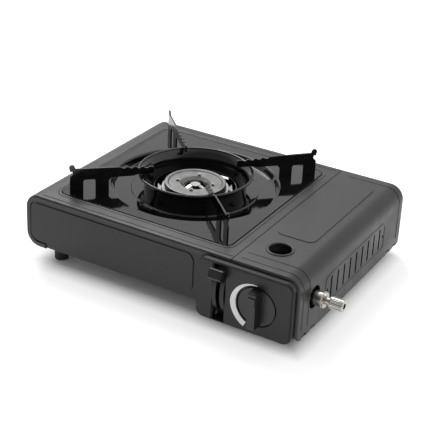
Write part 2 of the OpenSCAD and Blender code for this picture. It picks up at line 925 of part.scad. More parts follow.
// Screws of the control panel, driven from inside, and of the back plate, driven from behind.
module plate_screws() {
  color("#b9bbbd")
  place() {
    for (p = panel_screw_places)
      translate([p[0], plate_y + sheet_t, p[1]])
      rotate([-90, 0, 0])
      pan_screw(panel_out);
    for (p = back_screw_places)
      translate([p[0], plate_back_y + sheet_t, p[1]])
      rotate([-90, 0, 0])
      pan_screw(sheet_t + air);
  }
}

pin_head_share = 1.4;

// Two pins of the lid's hinge.
module hinge_pins() {
  color("#b9bbbd")
  place()
  for (y = hinge_starts) {
    translate([hinge_x, y - small, hinge_z])
    rotate([-90, 0, 0])
    cylinder(h = hinge_l + 2 * small, r = pin_r);
    for (end = [y - small - pin_gap, y + hinge_l + pin_gap])
      translate([hinge_x, end, hinge_z])
      rotate([-90, 0, 0])
      cylinder(h = small, r = pin_head_share * pin_r);
  }
}

bracket_turn = 33;
bracket_t = 1.2;
bracket_w = 20;
bracket_r = bowl_r + 3;
bracket_top = cap_z - cap_h - 2 * small;

// Strap under the bowl with two uprights, feet on the floor and a pointed wing at each top.
module burner_bracket() {
  low = tray_z + sheet_t;
  color("#9a9c9e")
  place()
  translate([burner_x, burner_y, 0])
  rotate([0, 0, bracket_turn])
  difference() {
    union() {
      translate([-bracket_r, -bracket_w / 2, bowl_z - bracket_t])
      cube([2 * bracket_r, bracket_w, bracket_t]);
      for (m = [0, 1])
        mirror([m, 0, 0]) {
          translate([bracket_r, -bracket_w / 2, low])
          cube([bracket_t, bracket_w, bracket_top - low]);
          translate([bracket_r, -bracket_w / 2, low])
          cube([bracket_w / 2, bracket_w, bracket_t]);
          translate([0, 0, bracket_top - bracket_t])
          linear_extrude(bracket_t)
          polygon([[bracket_r + bracket_t, -bracket_w / 2],
              [bracket_r + bracket_t, bracket_w / 2],
              [bowl_r + air, bracket_w / 6],
              [bowl_r + air, -bracket_w / 6]]);
        }
    }
    for (s = [-1, 1])
      translate([s * (bracket_r + bracket_w / 3), 0, low - cut])
      cylinder(h = bracket_t + 2 * cut, r = screw_r);
  }
}

bowl_top = cap_z - cap_h;
bowl_steps = 10;
tube_z = bowl_z + tube_bore + tube_t + small;
tube_mouth = burner_x + tube_reach;
jet_r = 3;

// Outer radius of the bowl at a share of its height.
function bowl_out(s) = bowl_floor_r + (bowl_r - bowl_floor_r) * sin(90 * s);

// Height of the bowl at a share of its curved part.
function bowl_height(s) = bowl_z + (bowl_top - 2 * rim_w - bowl_z) * s;

// Cast bowl with the mixing tube that brings in gas and air.
module burner_bowl() {
  seat_in = cap_r - cap_t - cap_rim_w / 2;
  seat_out = cap_r + small;
  color("#8c8e90")
  place()
  translate([burner_x, burner_y, 0])
  difference() {
    union() {
      rotate_extrude($fn = 96)
      polygon(concat([[0, bowl_z]],
          [for (i = [0:bowl_steps])
          [bowl_out(i / bowl_steps), bowl_height(i / bowl_steps)]],
          [[bowl_r, bowl_top + small], [0, bowl_top + small]]));
      translate([bowl_floor_r - 2 * bowl_t, 0, tube_z])
      rotate([0, 90, 0])
      cylinder(h = tube_reach - bowl_floor_r + 2 * bowl_t, r = tube_bore + tube_t);
      translate([tube_reach - 2 * tube_t, 0, tube_z])
      rotate([0, 90, 0])
      cylinder(h = 2 * tube_t, r = tube_bore + 2 * tube_t);
    }
    rotate_extrude($fn = 96)
    polygon(concat([[0, bowl_z + bowl_t]],
        [for (i = [0:bowl_steps])
        [min(seat_in, bowl_out(i / bowl_steps) - bowl_t),
        bowl_height(i / bowl_steps) + bowl_t]],
        [[seat_in, bowl_top + cut], [0, bowl_top + cut]]));
    translate([0, 0, bowl_top])
    cylinder(h = 2 * small + cut, r = seat_out, $fn = 96);
    translate([0, 0, tube_z])
    rotate([0, 90, 0])
    cylinder(h = tube_reach - tube_t, r = tube_bore);
    translate([tube_reach - 2 * tube_t, 0, tube_z])
    rotate([0, 90, 0])
    cylinder(h = 4 * tube_t, r = jet_r + air);
    for (s = [-1, 1])
      translate([tube_reach - 3 * tube_bore, s * 1.5 * tube_bore - tube_bore,
          tube_z - tube_bore / 2])
      cube([1.5 * tube_bore, 2 * tube_bore, tube_bore]);
  }
}

// Ported cap with its raised rim and dished collar.
module burner_cap() {
  face_z = cap_z - cap_face_drop;
  collar_z = face_z - cap_collar_drop;
  rim_in = cap_r - cap_rim_w;
  collar_r = cap_hole_r + cap_collar_w;
  color("#84868a")
  place()
  translate([burner_x, burner_y, 0])
  difference() {
    rotate_extrude($fn = 96)
    polygon([[cap_hole_r, collar_z], [collar_r, face_z], [rim_in - small, face_z],
        [rim_in + small, cap_z - small / 2], [rim_in + 2 * small, cap_z],
        [cap_r - 2 * small, cap_z], [cap_r - small / 2, cap_z - small / 2],
        [cap_r, cap_z - 2 * small], [cap_r, cap_z - cap_h],
        [cap_r - cap_t, cap_z - cap_h], [cap_r - cap_t, face_z - cap_t],
        [collar_r + cap_t / 2, face_z - cap_t],
        [cap_hole_r + cap_t / 2, collar_z - cap_t],
        [cap_hole_r, collar_z - cap_t]]);
    for (i = [0:port_n - 1])
      rotate([0, 0, 360 * i / port_n])
      translate([cap_r - cap_t - small, -port_w / 2, cap_z - cap_h + small])
      cube([cap_t + 2 * small, port_w, port_h]);
    for (i = [0:rivet_n - 1])
      rivet_place(i)
      translate([0, 0, face_z - 2 * cap_t])
      cylinder(h = 3 * cap_t, r = rivet_r / 2 + pin_gap);
  }
}

rivet_turn = 18;
crown_share = 0.7;
peen_share = 0.8;

// Puts a rivet's parts at its place on the cap.
module rivet_place(i) {
  rotate([0, 0, rivet_turn + 360 * i / rivet_n])
  translate([rivet_place_r, 0, 0])
  children();
}

// Rivets of the cap: low round heads above and a peened end below.
module cap_rivets() {
  face_z = cap_z - cap_face_drop;
  color("#c9cbcd")
  place()
  translate([burner_x, burner_y, 0])
  for (i = [0:rivet_n - 1])
    rivet_place(i) {
      translate([0, 0, face_z])
      cylinder(h = rivet_h / 2, r = rivet_r);
      translate([0, 0, face_z + rivet_h / 2])
      cylinder(h = rivet_h / 2, r = crown_share * rivet_r);
      translate([0, 0, face_z - cap_t])
      cylinder(h = cap_t, r = rivet_r / 2);
      translate([0, 0, face_z - cap_t - small])
      cylinder(h = small, r = peen_share * rivet_r);
    }
}

// Bright pressed star under the cap's opening: a raised hub on sloping arms in a flat ring.
module burner_star() {
  low = cap_z - cap_face_drop - cap_collar_drop - cap_t - bracket_t;
  ring_in = cap_hole_r - 2 * small;
  hub_low = low + star_rise;
  color("#d8dadc")
  place()
  translate([burner_x, burner_y, 0]) {
    translate([0, 0, low])
    difference() {
      cylinder(h = bracket_t, r = cap_hole_r + cap_t / 2);
      translate([0, 0, -cut])
      cylinder(h = bracket_t + 2 * cut, r = ring_in);
    }
    translate([0, 0, hub_low])
    cylinder(h = bracket_t, r = star_hub_r);
    for (i = [0:star_n - 1])
      rotate([90, 0, star_turn + 360 * i / star_n])
      translate([0, 0, -star_arm_w / 2])
      linear_extrude(star_arm_w)
      polygon([[star_hub_r - bracket_t, hub_low], [ring_in + small, low],
          [ring_in + small, low + bracket_t],
          [star_hub_r - bracket_t, hub_low + bracket_t]]);
  }
}

star_n = 3;
star_turn = 0;
star_rise = 3.4;
star_hub_r = 5.6;
star_arm_w = 4.6;

jet_block = 11;

// Brass jet: a square elbow block with its nozzle in the mixing tube's mouth.
module gas_jet() {
  nozzle_l = 6;
  color("#c2a25a")
  place()
  difference() {
    union() {
      translate([tube_mouth, burner_y - jet_block / 2, tube_z - jet_block / 2])
      cube([jet_block, jet_block, jet_block]);
      translate([tube_mouth - nozzle_l, burner_y, tube_z])
      rotate([0, 90, 0])
      cylinder(h = nozzle_l, r = jet_r);
      translate([tube_mouth + jet_block / 2, burner_y - jet_block / 2 - 4 * small, tube_z])
      rotate([-90, 0, 0])
      cylinder(h = 4 * small, r = 2 * pipe_r);
    }
    translate([tube_mouth - nozzle_l - cut, burner_y, tube_z])
    rotate([0, 90, 0])
    cylinder(h = nozzle_l, r = small);
  }
}

// Route of the gas pipe from the jet to the valve.
pipe_end = [knob_x - pipe_side, 25, knob_z];
jet_x = tube_mouth + jet_block / 2;
pipe_route = [[jet_x, 123, 45], [jet_x, 112, 45], [seam_x - 21, 100, 43], [seam_x - 18, 86, 38],
    [seam_x - 14, 72, 34], [seam_x - 11, 60, 33], [seam_x - 7, 50, 33], [partition_x, 44, 33],
    [seam_x + 5, 40, 34], [knob_x - 25, 36, 37], [knob_x - 23, 31, 42], [knob_x - 21, 27, 45],
    [knob_x - 17, 25, knob_z], pipe_end];

// Route of the spark lead from the igniter to the electrode.
lead_route = [[igniter_x, 40.6, 64], [igniter_x - 1, 43, 64], [igniter_x - 5, 45, 65],
    [seam_x + 6, 46, 66], [partition_x, 46, 66], [seam_x - 8, 47, 66], [seam_x - 16, 52, 64],
    [236, 60, 58], [222, 68, 50], [206, 76, 44], [190, 84, 42], [178, 92, 43],
    [170, 97, 46], [164, 97, 51], [161.6, 95.8, 57], [161.6, 95.8, 62.8]];

// Point on a smooth curve through four points, at a share of the way from the second to the third.
function curve(a, b, c, d, t) =
    0.5 * (2 * b + (c - a) * t + (2 * a - 5 * b + 4 * c - d) * t * t
    + (3 * b - a - 3 * c + d) * t * t * t);

// All points of a route, with the steps that a smooth curve adds between them.
function smooth_route(p, steps) =
    let (n = len(p) - 1)
  [for (i = [0:n - 1], k = [0:steps - 1])
      curve(p[max(0, i - 1)], p[i], p[i + 1], p[min(n, i + 2)], k / steps),
      p[n]];

function unit(v) = v / norm(v);

// Tube swept along points: a ring of sides at each point, square to the route. The side is a
// direction that the route never takes.
module sweep_tube(points, r, sides, side) {
  n = len(points);
  dirs = [for (i = [0:n - 1]) unit(points[min(n - 1, i + 1)] - points[max(0, i - 1)])];
  rings = [for (i = [0:n - 1])
      let (u = unit(cross(dirs[i], side)),
      v = cross(dirs[i], u))
      [for (k = [0:sides - 1]) points[i] + r * (cos(360 * k / sides) * u + sin(360 * k / sides) * v)]];
  polyhedron(
      points = [for (ring = rings) each ring],
      faces = concat(
      [[for (k = [sides - 1:-1:0]) k]],
      [for (i = [0:n - 2], k = [0:sides - 1])
      let (k2 = (k + 1) % sides)
      each [[i * sides + k, i * sides + k2, (i + 1) * sides + k2],
      [i * sides + k, (i + 1) * sides + k2, (i + 1) * sides + k]]],
      [[for (k = [0:sides - 1]) (n - 1) * sides + k]]));
}

// Copper pipe between the valve and the jet.
module gas_pipe() {
  color("#b0703c")
  place()
  sweep_tube(smooth_route(pipe_route, 3), pipe_r, 10, [0, 0, 1]);
}

// Insulated spark lead.
module ignition_lead() {
  color("#b8b2a4")
  place()
  sweep_tube(smooth_route(lead_route, 3), lead_r, 8, [1, 2, 0]);
}

valve_r = 13;
valve_y = 8;
valve_l = 33;
socket_r = 7;
socket_end = 45;
stem_r = 2.6;
screw_gap = 0.3;

// Regulator body with the cassette socket at the back and the branch to the side inlet.
module valve_body() {
  cover_z = knob_z - valve_r - 2 * small;
  color("#b4b0a6")
  place()
  difference() {
    union() {
      translate([knob_x, valve_y, knob_z])
      rotate([-90, 0, 0])
      cylinder(h = valve_l, r = valve_r);
      translate([bay_x, valve_y + valve_l / 2, bay_z])
      rotate([-90, 0, 0])
      cylinder(h = socket_end - valve_y - valve_l / 2, r = socket_r);
      translate([bay_x, valve_y + valve_l, bay_z])
      rotate([-90, 0, 0])
      cylinder(h = 2 * sheet_t, r = 2 * socket_r);
      translate([knob_x, inlet_y, inlet_z])
      rotate([0, 90, 0])
      cylinder(h = side_x - 2 * socket_r - knob_x, r = stub_r - sheet_t);
      translate([pipe_end[0] - sheet_t, pipe_end[1], pipe_end[2]])
      rotate([0, 90, 0])
      cylinder(h = valve_r, r = 2 * pipe_r);
      translate([knob_x, valve_y + valve_l / 2, cover_z - 2 * sheet_t])
      cylinder(h = valve_r, r = valve_r - 3 * sheet_t);
      translate([knob_x, valve_y + valve_l / 2, cover_z - 2 * sheet_t])
      cylinder(h = 2 * sheet_t, r = cover_r);
    }
    translate([knob_x, valve_y - cut, knob_z])
    rotate([-90, 0, 0])
    cylinder(h = spindle_in + cut, r = spindle_r + spindle_gap);
    translate([bay_x, socket_end - stem_l, bay_z])
    rotate([-90, 0, 0])
    cylinder(h = stem_l + cut, r = stem_r);
    translate([pipe_end[0] - sheet_t - cut, pipe_end[1], pipe_end[2]])
    rotate([0, 90, 0])
    cylinder(h = sheet_t + cut + air, r = pipe_r + pin_gap);
    for (a = cover_turns)
      translate([knob_x, valve_y + valve_l / 2, cover_z])
      rotate([0, 0, a])
      translate([cover_r - screw_head_r, 0, -3 * sheet_t])
      cylinder(h = 4 * sheet_t, r = screw_r + screw_gap / 2);
  }
}

cover_r = 16;
cover_turns = [45, 135, 225, 315];
spindle_in = 9;
stem_l = 8;
cover_h = 7;

// Round cover of the regulator's diaphragm, under the body.
module diaphragm_cover() {
  top = knob_z - valve_r - 2 * small - 2 * sheet_t;
  color("#a8aaac")
  place()
  translate([knob_x, valve_y + valve_l / 2, top])
  difference() {
    union() {
      translate([0, 0, -sheet_t])
      cylinder(h = sheet_t, r = cover_r);
      translate([0, 0, -cover_h])
      cylinder(h = cover_h, r = cover_r - 2 * screw_head_r);
      translate([0, 0, -cover_h - sheet_t])
      cylinder(h = 2 * sheet_t, r = socket_r);
    }
    for (a = cover_turns)
      rotate([0, 0, a])
      translate([cover_r - screw_head_r, 0, -2 * sheet_t])
      cylinder(h = 3 * sheet_t, r = screw_r + screw_gap / 2);
  }
}

// Screws of the diaphragm cover, driven from above.
module cover_screws() {
  top = knob_z - valve_r - 2 * small;
  color("#b9bbbd")
  place()
  for (a = cover_turns)
    translate([knob_x, valve_y + valve_l / 2, top])
    rotate([0, 0, a])
    translate([cover_r - screw_head_r, 0, 0])
    intersection() {
      pan_screw(3 * sheet_t + small);
      translate([-screw_head_r, -screw_head_r, -cover_h])
      cube([2 * screw_head_r, 2 * screw_head_r, 2 * cover_h]);
    }
}

igniter_r = 6;
igniter_z = 64;

// Steel angle that holds the regulator and the igniter behind the front plate.
module valve_bracket() {
  x0 = igniter_x - igniter_r - 2 * sheet_t;
  low = bay_floor_z + sheet_t;
  color("#9a9c9e")
  place()
  difference() {
    union() {
      translate([x0, valve_y - bracket_t, low])
      cube([3 * cover_r, bracket_t, igniter_z + igniter_r - low]);
      translate([x0, valve_y - bracket_t, low])
      cube([3 * cover_r, screw_inset, bracket_t]);
    }
    translate([knob_x, 0, knob_z])
    rotate([-90, 0, 0])
    cylinder(h = valve_y + cut, r = 2 * spindle_r);
    for (x = [x0 + 2 * screw_r, x0 + 3 * cover_r - 2 * screw_r])
      translate([x, valve_y + screw_inset / 2, low - cut])
      cylinder(h = bracket_t + 2 * cut, r = screw_r);
  }
}

// Piezo igniter: a round barrel that ends in the lead's collar.
module igniter() {
  barrel = 28;
  color("#5a2f2a")
  place()
  translate([igniter_x, valve_y, igniter_z])
  rotate([-90, 0, 0]) {
    cylinder(h = barrel, r = igniter_r);
    cylinder(h = barrel + 4 * sheet_t, r = 2 * lead_r);
  }
}

electrode_r = 42;
electrode_turn = -57;
ceramic_r = 2.5;
electrode_z = 66;
ceramic_top = 82;

// Puts a part at the electrode's place beside the bowl.
module at_electrode() {
  place()
  translate([burner_x, burner_y, 0])
  rotate([0, 0, electrode_turn])
  translate([electrode_r, 0, 0])
  children();
}

// White ceramic sleeve of the electrode.
module electrode_ceramic() {
  color("#ece8dc")
  at_electrode()
  difference() {
    union() {
      translate([0, 0, electrode_z - screw_head_r])
      cylinder(h = ceramic_top - electrode_z + screw_head_r, r = ceramic_r);
      translate([0, 0, electrode_z + bracket_t])
      cylinder(h = 2 * sheet_t, r = ceramic_r + sheet_t);
    }
    translate([0, 0, electrode_z])
    cylinder(h = ceramic_top, r = small + pin_gap);
  }
}

// Wire of the electrode, which bends towards the cap.
module electrode_pin() {
  reach = 4;
  color("#c9cbcd")
  at_electrode() {
    translate([0, 0, electrode_z])
    cylinder(h = cap_z - 3 * small - electrode_z, r = small);
    translate([0, 0, cap_z - 3 * small])
    sphere(small);
    translate([-reach, 0, cap_z - 3 * small])
    rotate([0, 90, 0])
    cylinder(h = reach, r = small);
  }
}

// Small steel bracket that stands on the floor and holds the ceramic.
module electrode_bracket() {
  low = tray_z + sheet_t;
  out = 7;
  width = 10;
  color("#9a9c9e")
  at_electrode()
  difference() {
    union() {
      translate([out, -width / 2, low])
      cube([bracket_t, width, electrode_z + bracket_t - low]);
      translate([out, -width / 2, low])
      cube([width, width, bracket_t]);
      translate([-ceramic_r - small, -width / 2, electrode_z])
      cube([out + ceramic_r + 2 * small, width, bracket_t]);
    }
    translate([0, 0, electrode_z - cut])
    cylinder(h = bracket_t + 2 * cut, r = ceramic_r + pin_gap);
  }
}

// Fixed nickel stub of the side inlet, which the lid closes around.
module inlet_stub() {
  start = side_x - 2 * socket_r;
  color("#c6bfae")
  place()
  difference() {
    union() {
      translate([start, inlet_y, inlet_z])
      rotate([0, 90, 0])
      cylinder(h = body_w + stub_out - start, r = stub_r);
      translate([start, inlet_y, inlet_z])
      rotate([0, 90, 0])
      cylinder(h = 4 * sheet_t, r = stub_r + 2 * sheet_t, $fn = 6);
    }
    translate([body_w + stub_out - shank_l, inlet_y, inlet_z])
    rotate([0, 90, 0])
    cylinder(h = shank_l + cut, r = shank_r + shank_gap);
  }
}

shank_r = 5;
shank_l = 9;
shank_gap = 0.3;

lever_bracket_x = lever_x - track_w / 2 - small - 2 * bracket_t;
crank_r = push_travel / (2 * sin(lever_turn));
crank_pin_r = 2;
pusher_t = 1.5;
pusher_h = 10;
pusher_x = lever_x + lever_t / 2 + 2 * small;
pusher_y = cassette_y + cassette_l + push_travel + 2 * small;
pusher_z = pivot_z + pivot_r + air;

// Steel cheek behind the front plate that carries the lever's pivot.
module lever_bracket() {
  depth = pivot_y + 4 * pivot_r - plate_y - sheet_t;
  color("#9a9c9e")
  place()
  difference() {
    union() {
      translate([lever_bracket_x, plate_y + sheet_t, pivot_z - track_r / 4])
      cube([bracket_t, depth, track_r / 2]);
      translate([lever_bracket_x - screw_inset, plate_y + sheet_t, pivot_z - track_r / 4])
      cube([screw_inset + cut, bracket_t, track_r / 2]);
    }
    translate([lever_bracket_x - cut, pivot_y, pivot_z])
    rotate([0, 90, 0])
    cylinder(h = bracket_t + 2 * cut, r = pivot_r + pin_gap);
  }
}

// Pin that the lever turns on, with its head on the outer side of the cheek.
module pivot_pin() {
  color("#b9bbbd")
  place() {
    translate([lever_bracket_x, pivot_y, pivot_z])
    rotate([0, 90, 0])
    cylinder(h = partition_x - lever_bracket_x, r = pivot_r);
    translate([lever_bracket_x - sheet_t, pivot_y, pivot_z])
    rotate([0, 90, 0])
    cylinder(h = sheet_t, r = pivot_r + 2 * small);
  }
}

// Puts a part drawn along the lever's arm at the rest angle: X right, Y along the arm, Z up.
module on_lever() {
  place()
  translate([lever_x, pivot_y, pivot_z])
  rotate([-lever_turn, 0, 0])
  mirror([0, 1, 0])
  children();
}

// Lays a flat drawing of Y and Z so that it is centred on X with its depth.
module across(depth) {
  translate([-depth / 2, 0, 0])
  rotate([90, 0, 90])
  linear_extrude(depth)
  children();
}

hub_r = 6;
tab_gap = 1;
tab_hold = 5;

// Plate of the lever with its hub, its arm and the crank pin above the pivot.
module lever_plate() {
  ear_r = crank_pin_r + 1.5 * small;
  color("#8f9193")
  on_lever()
  difference() {
    union() {
      across(lever_t) {
        circle(hub_r);
        translate([0, -arm_h / 2])
        square([track_r + tab_gap + tab_hold, arm_h]);
        translate([-ear_r, 0])
        square([2 * ear_r, crank_r]);
        translate([0, crank_r])
        circle(ear_r);
      }
      translate([0, 0, crank_r])
      rotate([0, 90, 0])
      cylinder(h = pusher_x + pusher_t + small - lever_x, r = crank_pin_r);
    }
    translate([-lever_t, 0, 0])
    rotate([0, 90, 0])
    cylinder(h = 2 * lever_t, r = pivot_r + pin_gap);
  }
}

// Moulded finger grip on the end of the lever.
module lever_grip() {
  start = track_r + tab_gap;
  wide_start = start + tab_hold + small;
  grip_l = 12.5;
  ridge_n = 3;
  color("#262728")
  on_lever()
  difference() {
    union() {
      across(tab_w)
      round_rect(wide_start, -tab_h / 2, start + grip_l, tab_h / 2, grip_l / 5);
      across(track_w - 2 * small)
      translate([start, -tab_h / 2])
      square([grip_l / 2 + small, tab_h]);
    }
    translate([-lever_t / 2 - pin_gap, start - cut, -arm_h / 2 - pin_gap])
    cube([lever_t + 2 * pin_gap, tab_hold + cut + pin_gap, arm_h + 2 * pin_gap]);
    for (i = [1:ridge_n])
      translate([-tab_w, start + grip_l * i / (ridge_n + 1), tab_h / 2])
      rotate([0, 90, 0])
      cylinder(h = 2 * tab_w, r = small);
  }
}

spring_turns = 4;
spring_wire = 0.45;
spring_pitch = 1.4;
spring_r = pivot_r + spring_wire + small;
spring_rings = 16;

// Points of the lever's torsion spring: a helix round the pin, then a straight leg.
spring_points = [for (i = [0:spring_turns * spring_rings])
    let (a = 360 * i / spring_rings)
    [spring_pitch * i / spring_rings, spring_r * cos(a), spring_r * sin(a)]];

// Torsion spring between the cheek and the lever, wound from one unbroken wire.
module lever_spring() {
  leg = 3 * pivot_r;
  last = spring_points[len(spring_points) - 1];
  echo(spring_gap = spring_pitch - 2 * spring_wire);
  color("#c9cbcd")
  place()
  translate([lever_bracket_x + bracket_t + spring_wire + air, pivot_y, pivot_z])
  sweep_tube(concat([[0, spring_r, -leg]], spring_points, [last + [0, 0, leg]]),
      spring_wire, 8, [1, 0, 0]);
}

// Bar beside the partition with the rear arm that pushes the cassette forwards.
module cassette_pusher() {
  pin_y = pivot_y + crank_r * sin(lever_turn);
  pin_low = pivot_z + crank_r * cos(lever_turn) - crank_pin_r;
  pin_high = pivot_z + crank_r + crank_pin_r;
  bar_y = pin_y - 3 * crank_pin_r;
  press_r = cassette_d / 4;
  color("#a8aaac")
  place()
  difference() {
    union() {
      translate([pusher_x, bar_y, pusher_z])
      cube([pusher_t, pusher_y + pusher_t - bar_y, pusher_h]);
      translate([pusher_x, pusher_y, pusher_z])
      cube([bay_x - pusher_x, pusher_t, pusher_h]);
      stand(pusher_y, pusher_t)
      round_rect(bay_x - press_r, bay_z - press_r, bay_x + press_r, bay_z + press_r,
          press_r / 2);
    }
    translate([pusher_x - cut, pin_y - crank_pin_r - air, pin_low - air])
    cube([pusher_t + 2 * cut, 2 * crank_pin_r + 2 * air, pin_high - pin_low + 2 * air]);
  }
}

// Bead that runs across the lid's top and down its side wall.
module lid_bead(y, x0, z1) {
  turn_r = corner_r - bead_sink;
  bead_x(x0, body_w - corner_r, y, bead_z);
  translate([body_w - corner_r, y, top_z - corner_r])
  rotate([-90, 0, 0])
  rotate([0, 0, 270])
  rotate_extrude(angle = 90)
  translate([turn_r, 0])
  circle(bead_r);
  translate([body_w - bead_sink, y, z1])
  cylinder(h = top_z - corner_r - z1, r = bead_r);
  translate([body_w - bead_sink, y, z1])
  sphere(bead_r);
}

// Cassette lid: top, side wall, slots, sight hole and its hinge knuckles.
module lid() {
  field_x1 = body_w - field_side;
  clear_z = hinge_z + knuckle_r + 2 * small;
  frame_out = 4 * vent_w;
  color("#3a3b3d")
  place()
  difference() {
    union() {
      channel_top(seam_x, body_w - corner_r, rim_w);
      channel_bend(body_w - corner_r, top_z - corner_r, 270, rim_w);
      difference() {
        translate([body_w, 0, top_z - corner_r])
        rotate([0, 180, 0])
        linear_extrude(top_z - corner_r - lid_z)
        channel(rim_w);
        translate([body_w - rim_w - cut, -cut, lid_z - cut])
        cube([rim_w - edge_r + cut, body_d + 2 * cut, clear_z - lid_z + cut]);
        for (y = hinge_starts, k = [0, 2])
          translate([hinge_x, y + k * (knuckle_l + knuckle_gap) - knuckle_gap,
              lid_z - cut])
          cube([rim_w, knuckle_l + 2 * knuckle_gap, clear_z - lid_z + cut]);
        lid_corner(lid_foot_r, 0);
        lid_corner(body_d - lid_foot_r, lid_foot_r);
      }
      translate([0, 0, top_z - sheet_t / 2])
      linear_extrude(sheet_t / 2 + bead_rise)
      round_rect(field_x1 - field_w, field_front, field_x1,
          field_front + field_d, well_r);
      translate([body_w - sight_x, sight_y, bead_z])
      rotate_extrude()
      translate([sight_r + bead_r, 0])
      circle(bead_r);
      lid_bead(bead_back + air * 10, seam_x + bead_back, 3 * panel_out);
      lid_bead(sight_y / 2, seam_x + bead_back, 3 * panel_out);
      lid_bead(body_d - 2 * rim_w, seam_x + 2 * bead_back, 3 * panel_out);
      rotate([90, 0, 90])
      bead_loop(vent_y - frame_out, vent_z - vent_h / 2 - vent_w,
          vent_y + (vent_n - 1) * vent_pitch + frame_out,
          vent_z + vent_h / 2 + vent_w, 2 * vent_w, body_w - bead_sink);
      for (y = hinge_starts)
        lid_knuckle(y + knuckle_l + knuckle_gap);
    }
    translate([body_w - sight_x, sight_y, top_z - 2 * sheet_t])
    cylinder(h = 4 * sheet_t, r = sight_r);
    translate([body_w, inlet_y, inlet_z])
    rotate([0, -90, 0])
    translate([0, 0, -cut - bead_rise])
    cylinder(h = 2 * sheet_t + cut + bead_rise, r = inlet_hole_r);
    for (i = [0:vent_n - 1])
      side_cut()
      translate([vent_y + i * vent_pitch - vent_w / 2, vent_z - vent_h / 2])
      round_rect(0, 0, vent_w, vent_h, vent_w / 2 - pin_gap);
    for (y = [vent_y - 0.6 * vent_pitch, vent_y + (vent_n - 0.4) * vent_pitch])
      side_cut()
      translate([y, vent_z])
      circle(pip_r);
    for (y = hinge_starts)
      translate([hinge_x, y, hinge_z])
      rotate([-90, 0, 0])
      cylinder(h = hinge_l, r = pin_r + pin_gap);
  }
}

// Cut through the lid's side wall of a drawing of Y and Z.
module side_cut() {
  translate([side_x - sheet_t, 0, 0])
  rotate([90, 0, 90])
  linear_extrude(3 * sheet_t + bead_rise)
  children();
}

// Piece cut off a lower corner of the side wall to round it.
module lid_corner(y, near) {
  translate([body_w - rim_w - cut, 0, 0])
  rotate([90, 0, 90])
  linear_extrude(rim_w + 2 * cut)
  difference() {
    translate([near > 0 ? y : y - lid_foot_r - cut, lid_z - cut])
    square([lid_foot_r + cut, lid_foot_r + cut]);
    translate([y, lid_z + lid_foot_r])
    circle(lid_foot_r);
  }
}

// Knuckle that belongs to the lid, with the leaf that joins it to the side wall.
module lid_knuckle(y) {
  translate([hinge_x, y, hinge_z])
  rotate([-90, 0, 0])
  cylinder(h = knuckle_l, r = knuckle_r);
  translate([hinge_x, y, hinge_z + knuckle_r - sheet_t])
  cube([hinge_in - sheet_t / 2, knuckle_l, sheet_t]);
}

pan_top = top_z + pan_rise;
pan_floor = pan_top - dish_drop;
ring_seat = pan_floor + step_rise;
slope_steps = 8;

// Points along the top of a smooth step from one radius and height to another.
function smooth_step(r0, z0, r1, z1) = [for (i = [0:slope_steps])
    let (t = i / slope_steps)
    [r0 + (r1 - r0) * t, z0 + (z1 - z0) * (1 - cos(180 * t)) / 2]];

// Enamelled drip pan: flange, skirt, round dish and the raised seat of the wind ring.
module drip_pan() {
  x0 = well_left + pan_gap;
  y0 = well_front + pan_gap;
  x1 = well_left + well_w - pan_gap;
  y1 = well_front + well_d - pan_gap;
  pan_r = well_r - pan_gap;
  top_line = concat([[dish_r + 2 * small, pan_top]],
      smooth_step(dish_r, pan_top, dish_r - dish_slope, pan_floor),
      smooth_step(step_r, pan_floor, step_r - 2 * small, ring_seat),
      smooth_step(hole_r + curb_w, ring_seat, hole_r + small, ring_seat + curb_rise),
      [[hole_r, ring_seat + curb_rise]]);
  n = len(top_line) - 1;
  color("#141415")
  place() {
    difference() {
      union() {
        translate([0, 0, pan_top - pan_t])
        linear_extrude(pan_t)
        round_rect(x0, y0, x1, y1, pan_r);
        translate([0, 0, top_z - ledge_drop])
        linear_extrude(pan_top - top_z + ledge_drop)
        difference() {
          round_rect(x0, y0, x1, y1, pan_r);
          round_rect(x0 + pan_t, y0 + pan_t, x1 - pan_t, y1 - pan_t, pan_r - pan_t);
        }
      }
      translate([burner_x, burner_y, top_z - ledge_drop - cut])
      cylinder(h = ledge_drop + pan_rise + 2 * cut, r = dish_r + small, $fn = 128);
    }
    translate([burner_x, burner_y, 0])
    rotate_extrude($fn = 128)
    polygon(concat(top_line,
        [for (i = [n:-1:0]) [top_line[i][0], top_line[i][1] - pan_t]]));
  }
}

// Flared steel ring round the burner, with four tabs on the pan.
module wind_ring() {
  tab_n = 4;
  tab_wide = 8;
  tab_out = 5;
  flare_z0 = ring_seat + ring_wall;
  flare_z1 = ring_z - ring_lip_r;
  flare_r1 = ring_r - ring_lip_r;
  outer = concat([[ring_foot_r, ring_seat]],
      [for (i = [0:slope_steps])
      let (t = i / slope_steps)
      [ring_foot_r + (flare_r1 - ring_foot_r) * t * t,
      flare_z0 + (flare_z1 - flare_z0) * t]]);
  n = len(outer) - 1;
  color("#3c3d3f")
  place()
  translate([burner_x, burner_y, 0]) {
    rotate_extrude($fn = 128) {
      polygon(concat(outer, [for (i = [n:-1:0]) [outer[i][0] - ring_t, outer[i][1]]]));
      translate([flare_r1, flare_z1])
      circle(ring_lip_r);
    }
    for (i = [0:tab_n - 1])
      rotate([0, 0, 360 * (i + half_share) / tab_n + bracket_turn]) {
        translate([ring_foot_r - ring_t / 2, -tab_wide / 2, ring_seat])
        cube([tab_out, tab_wide, ring_t]);
        translate([ring_foot_r + tab_out / 2, 0, ring_seat])
        cylinder(h = ring_t + small, r = rivet_r / 2 + small);
      }
  }
}

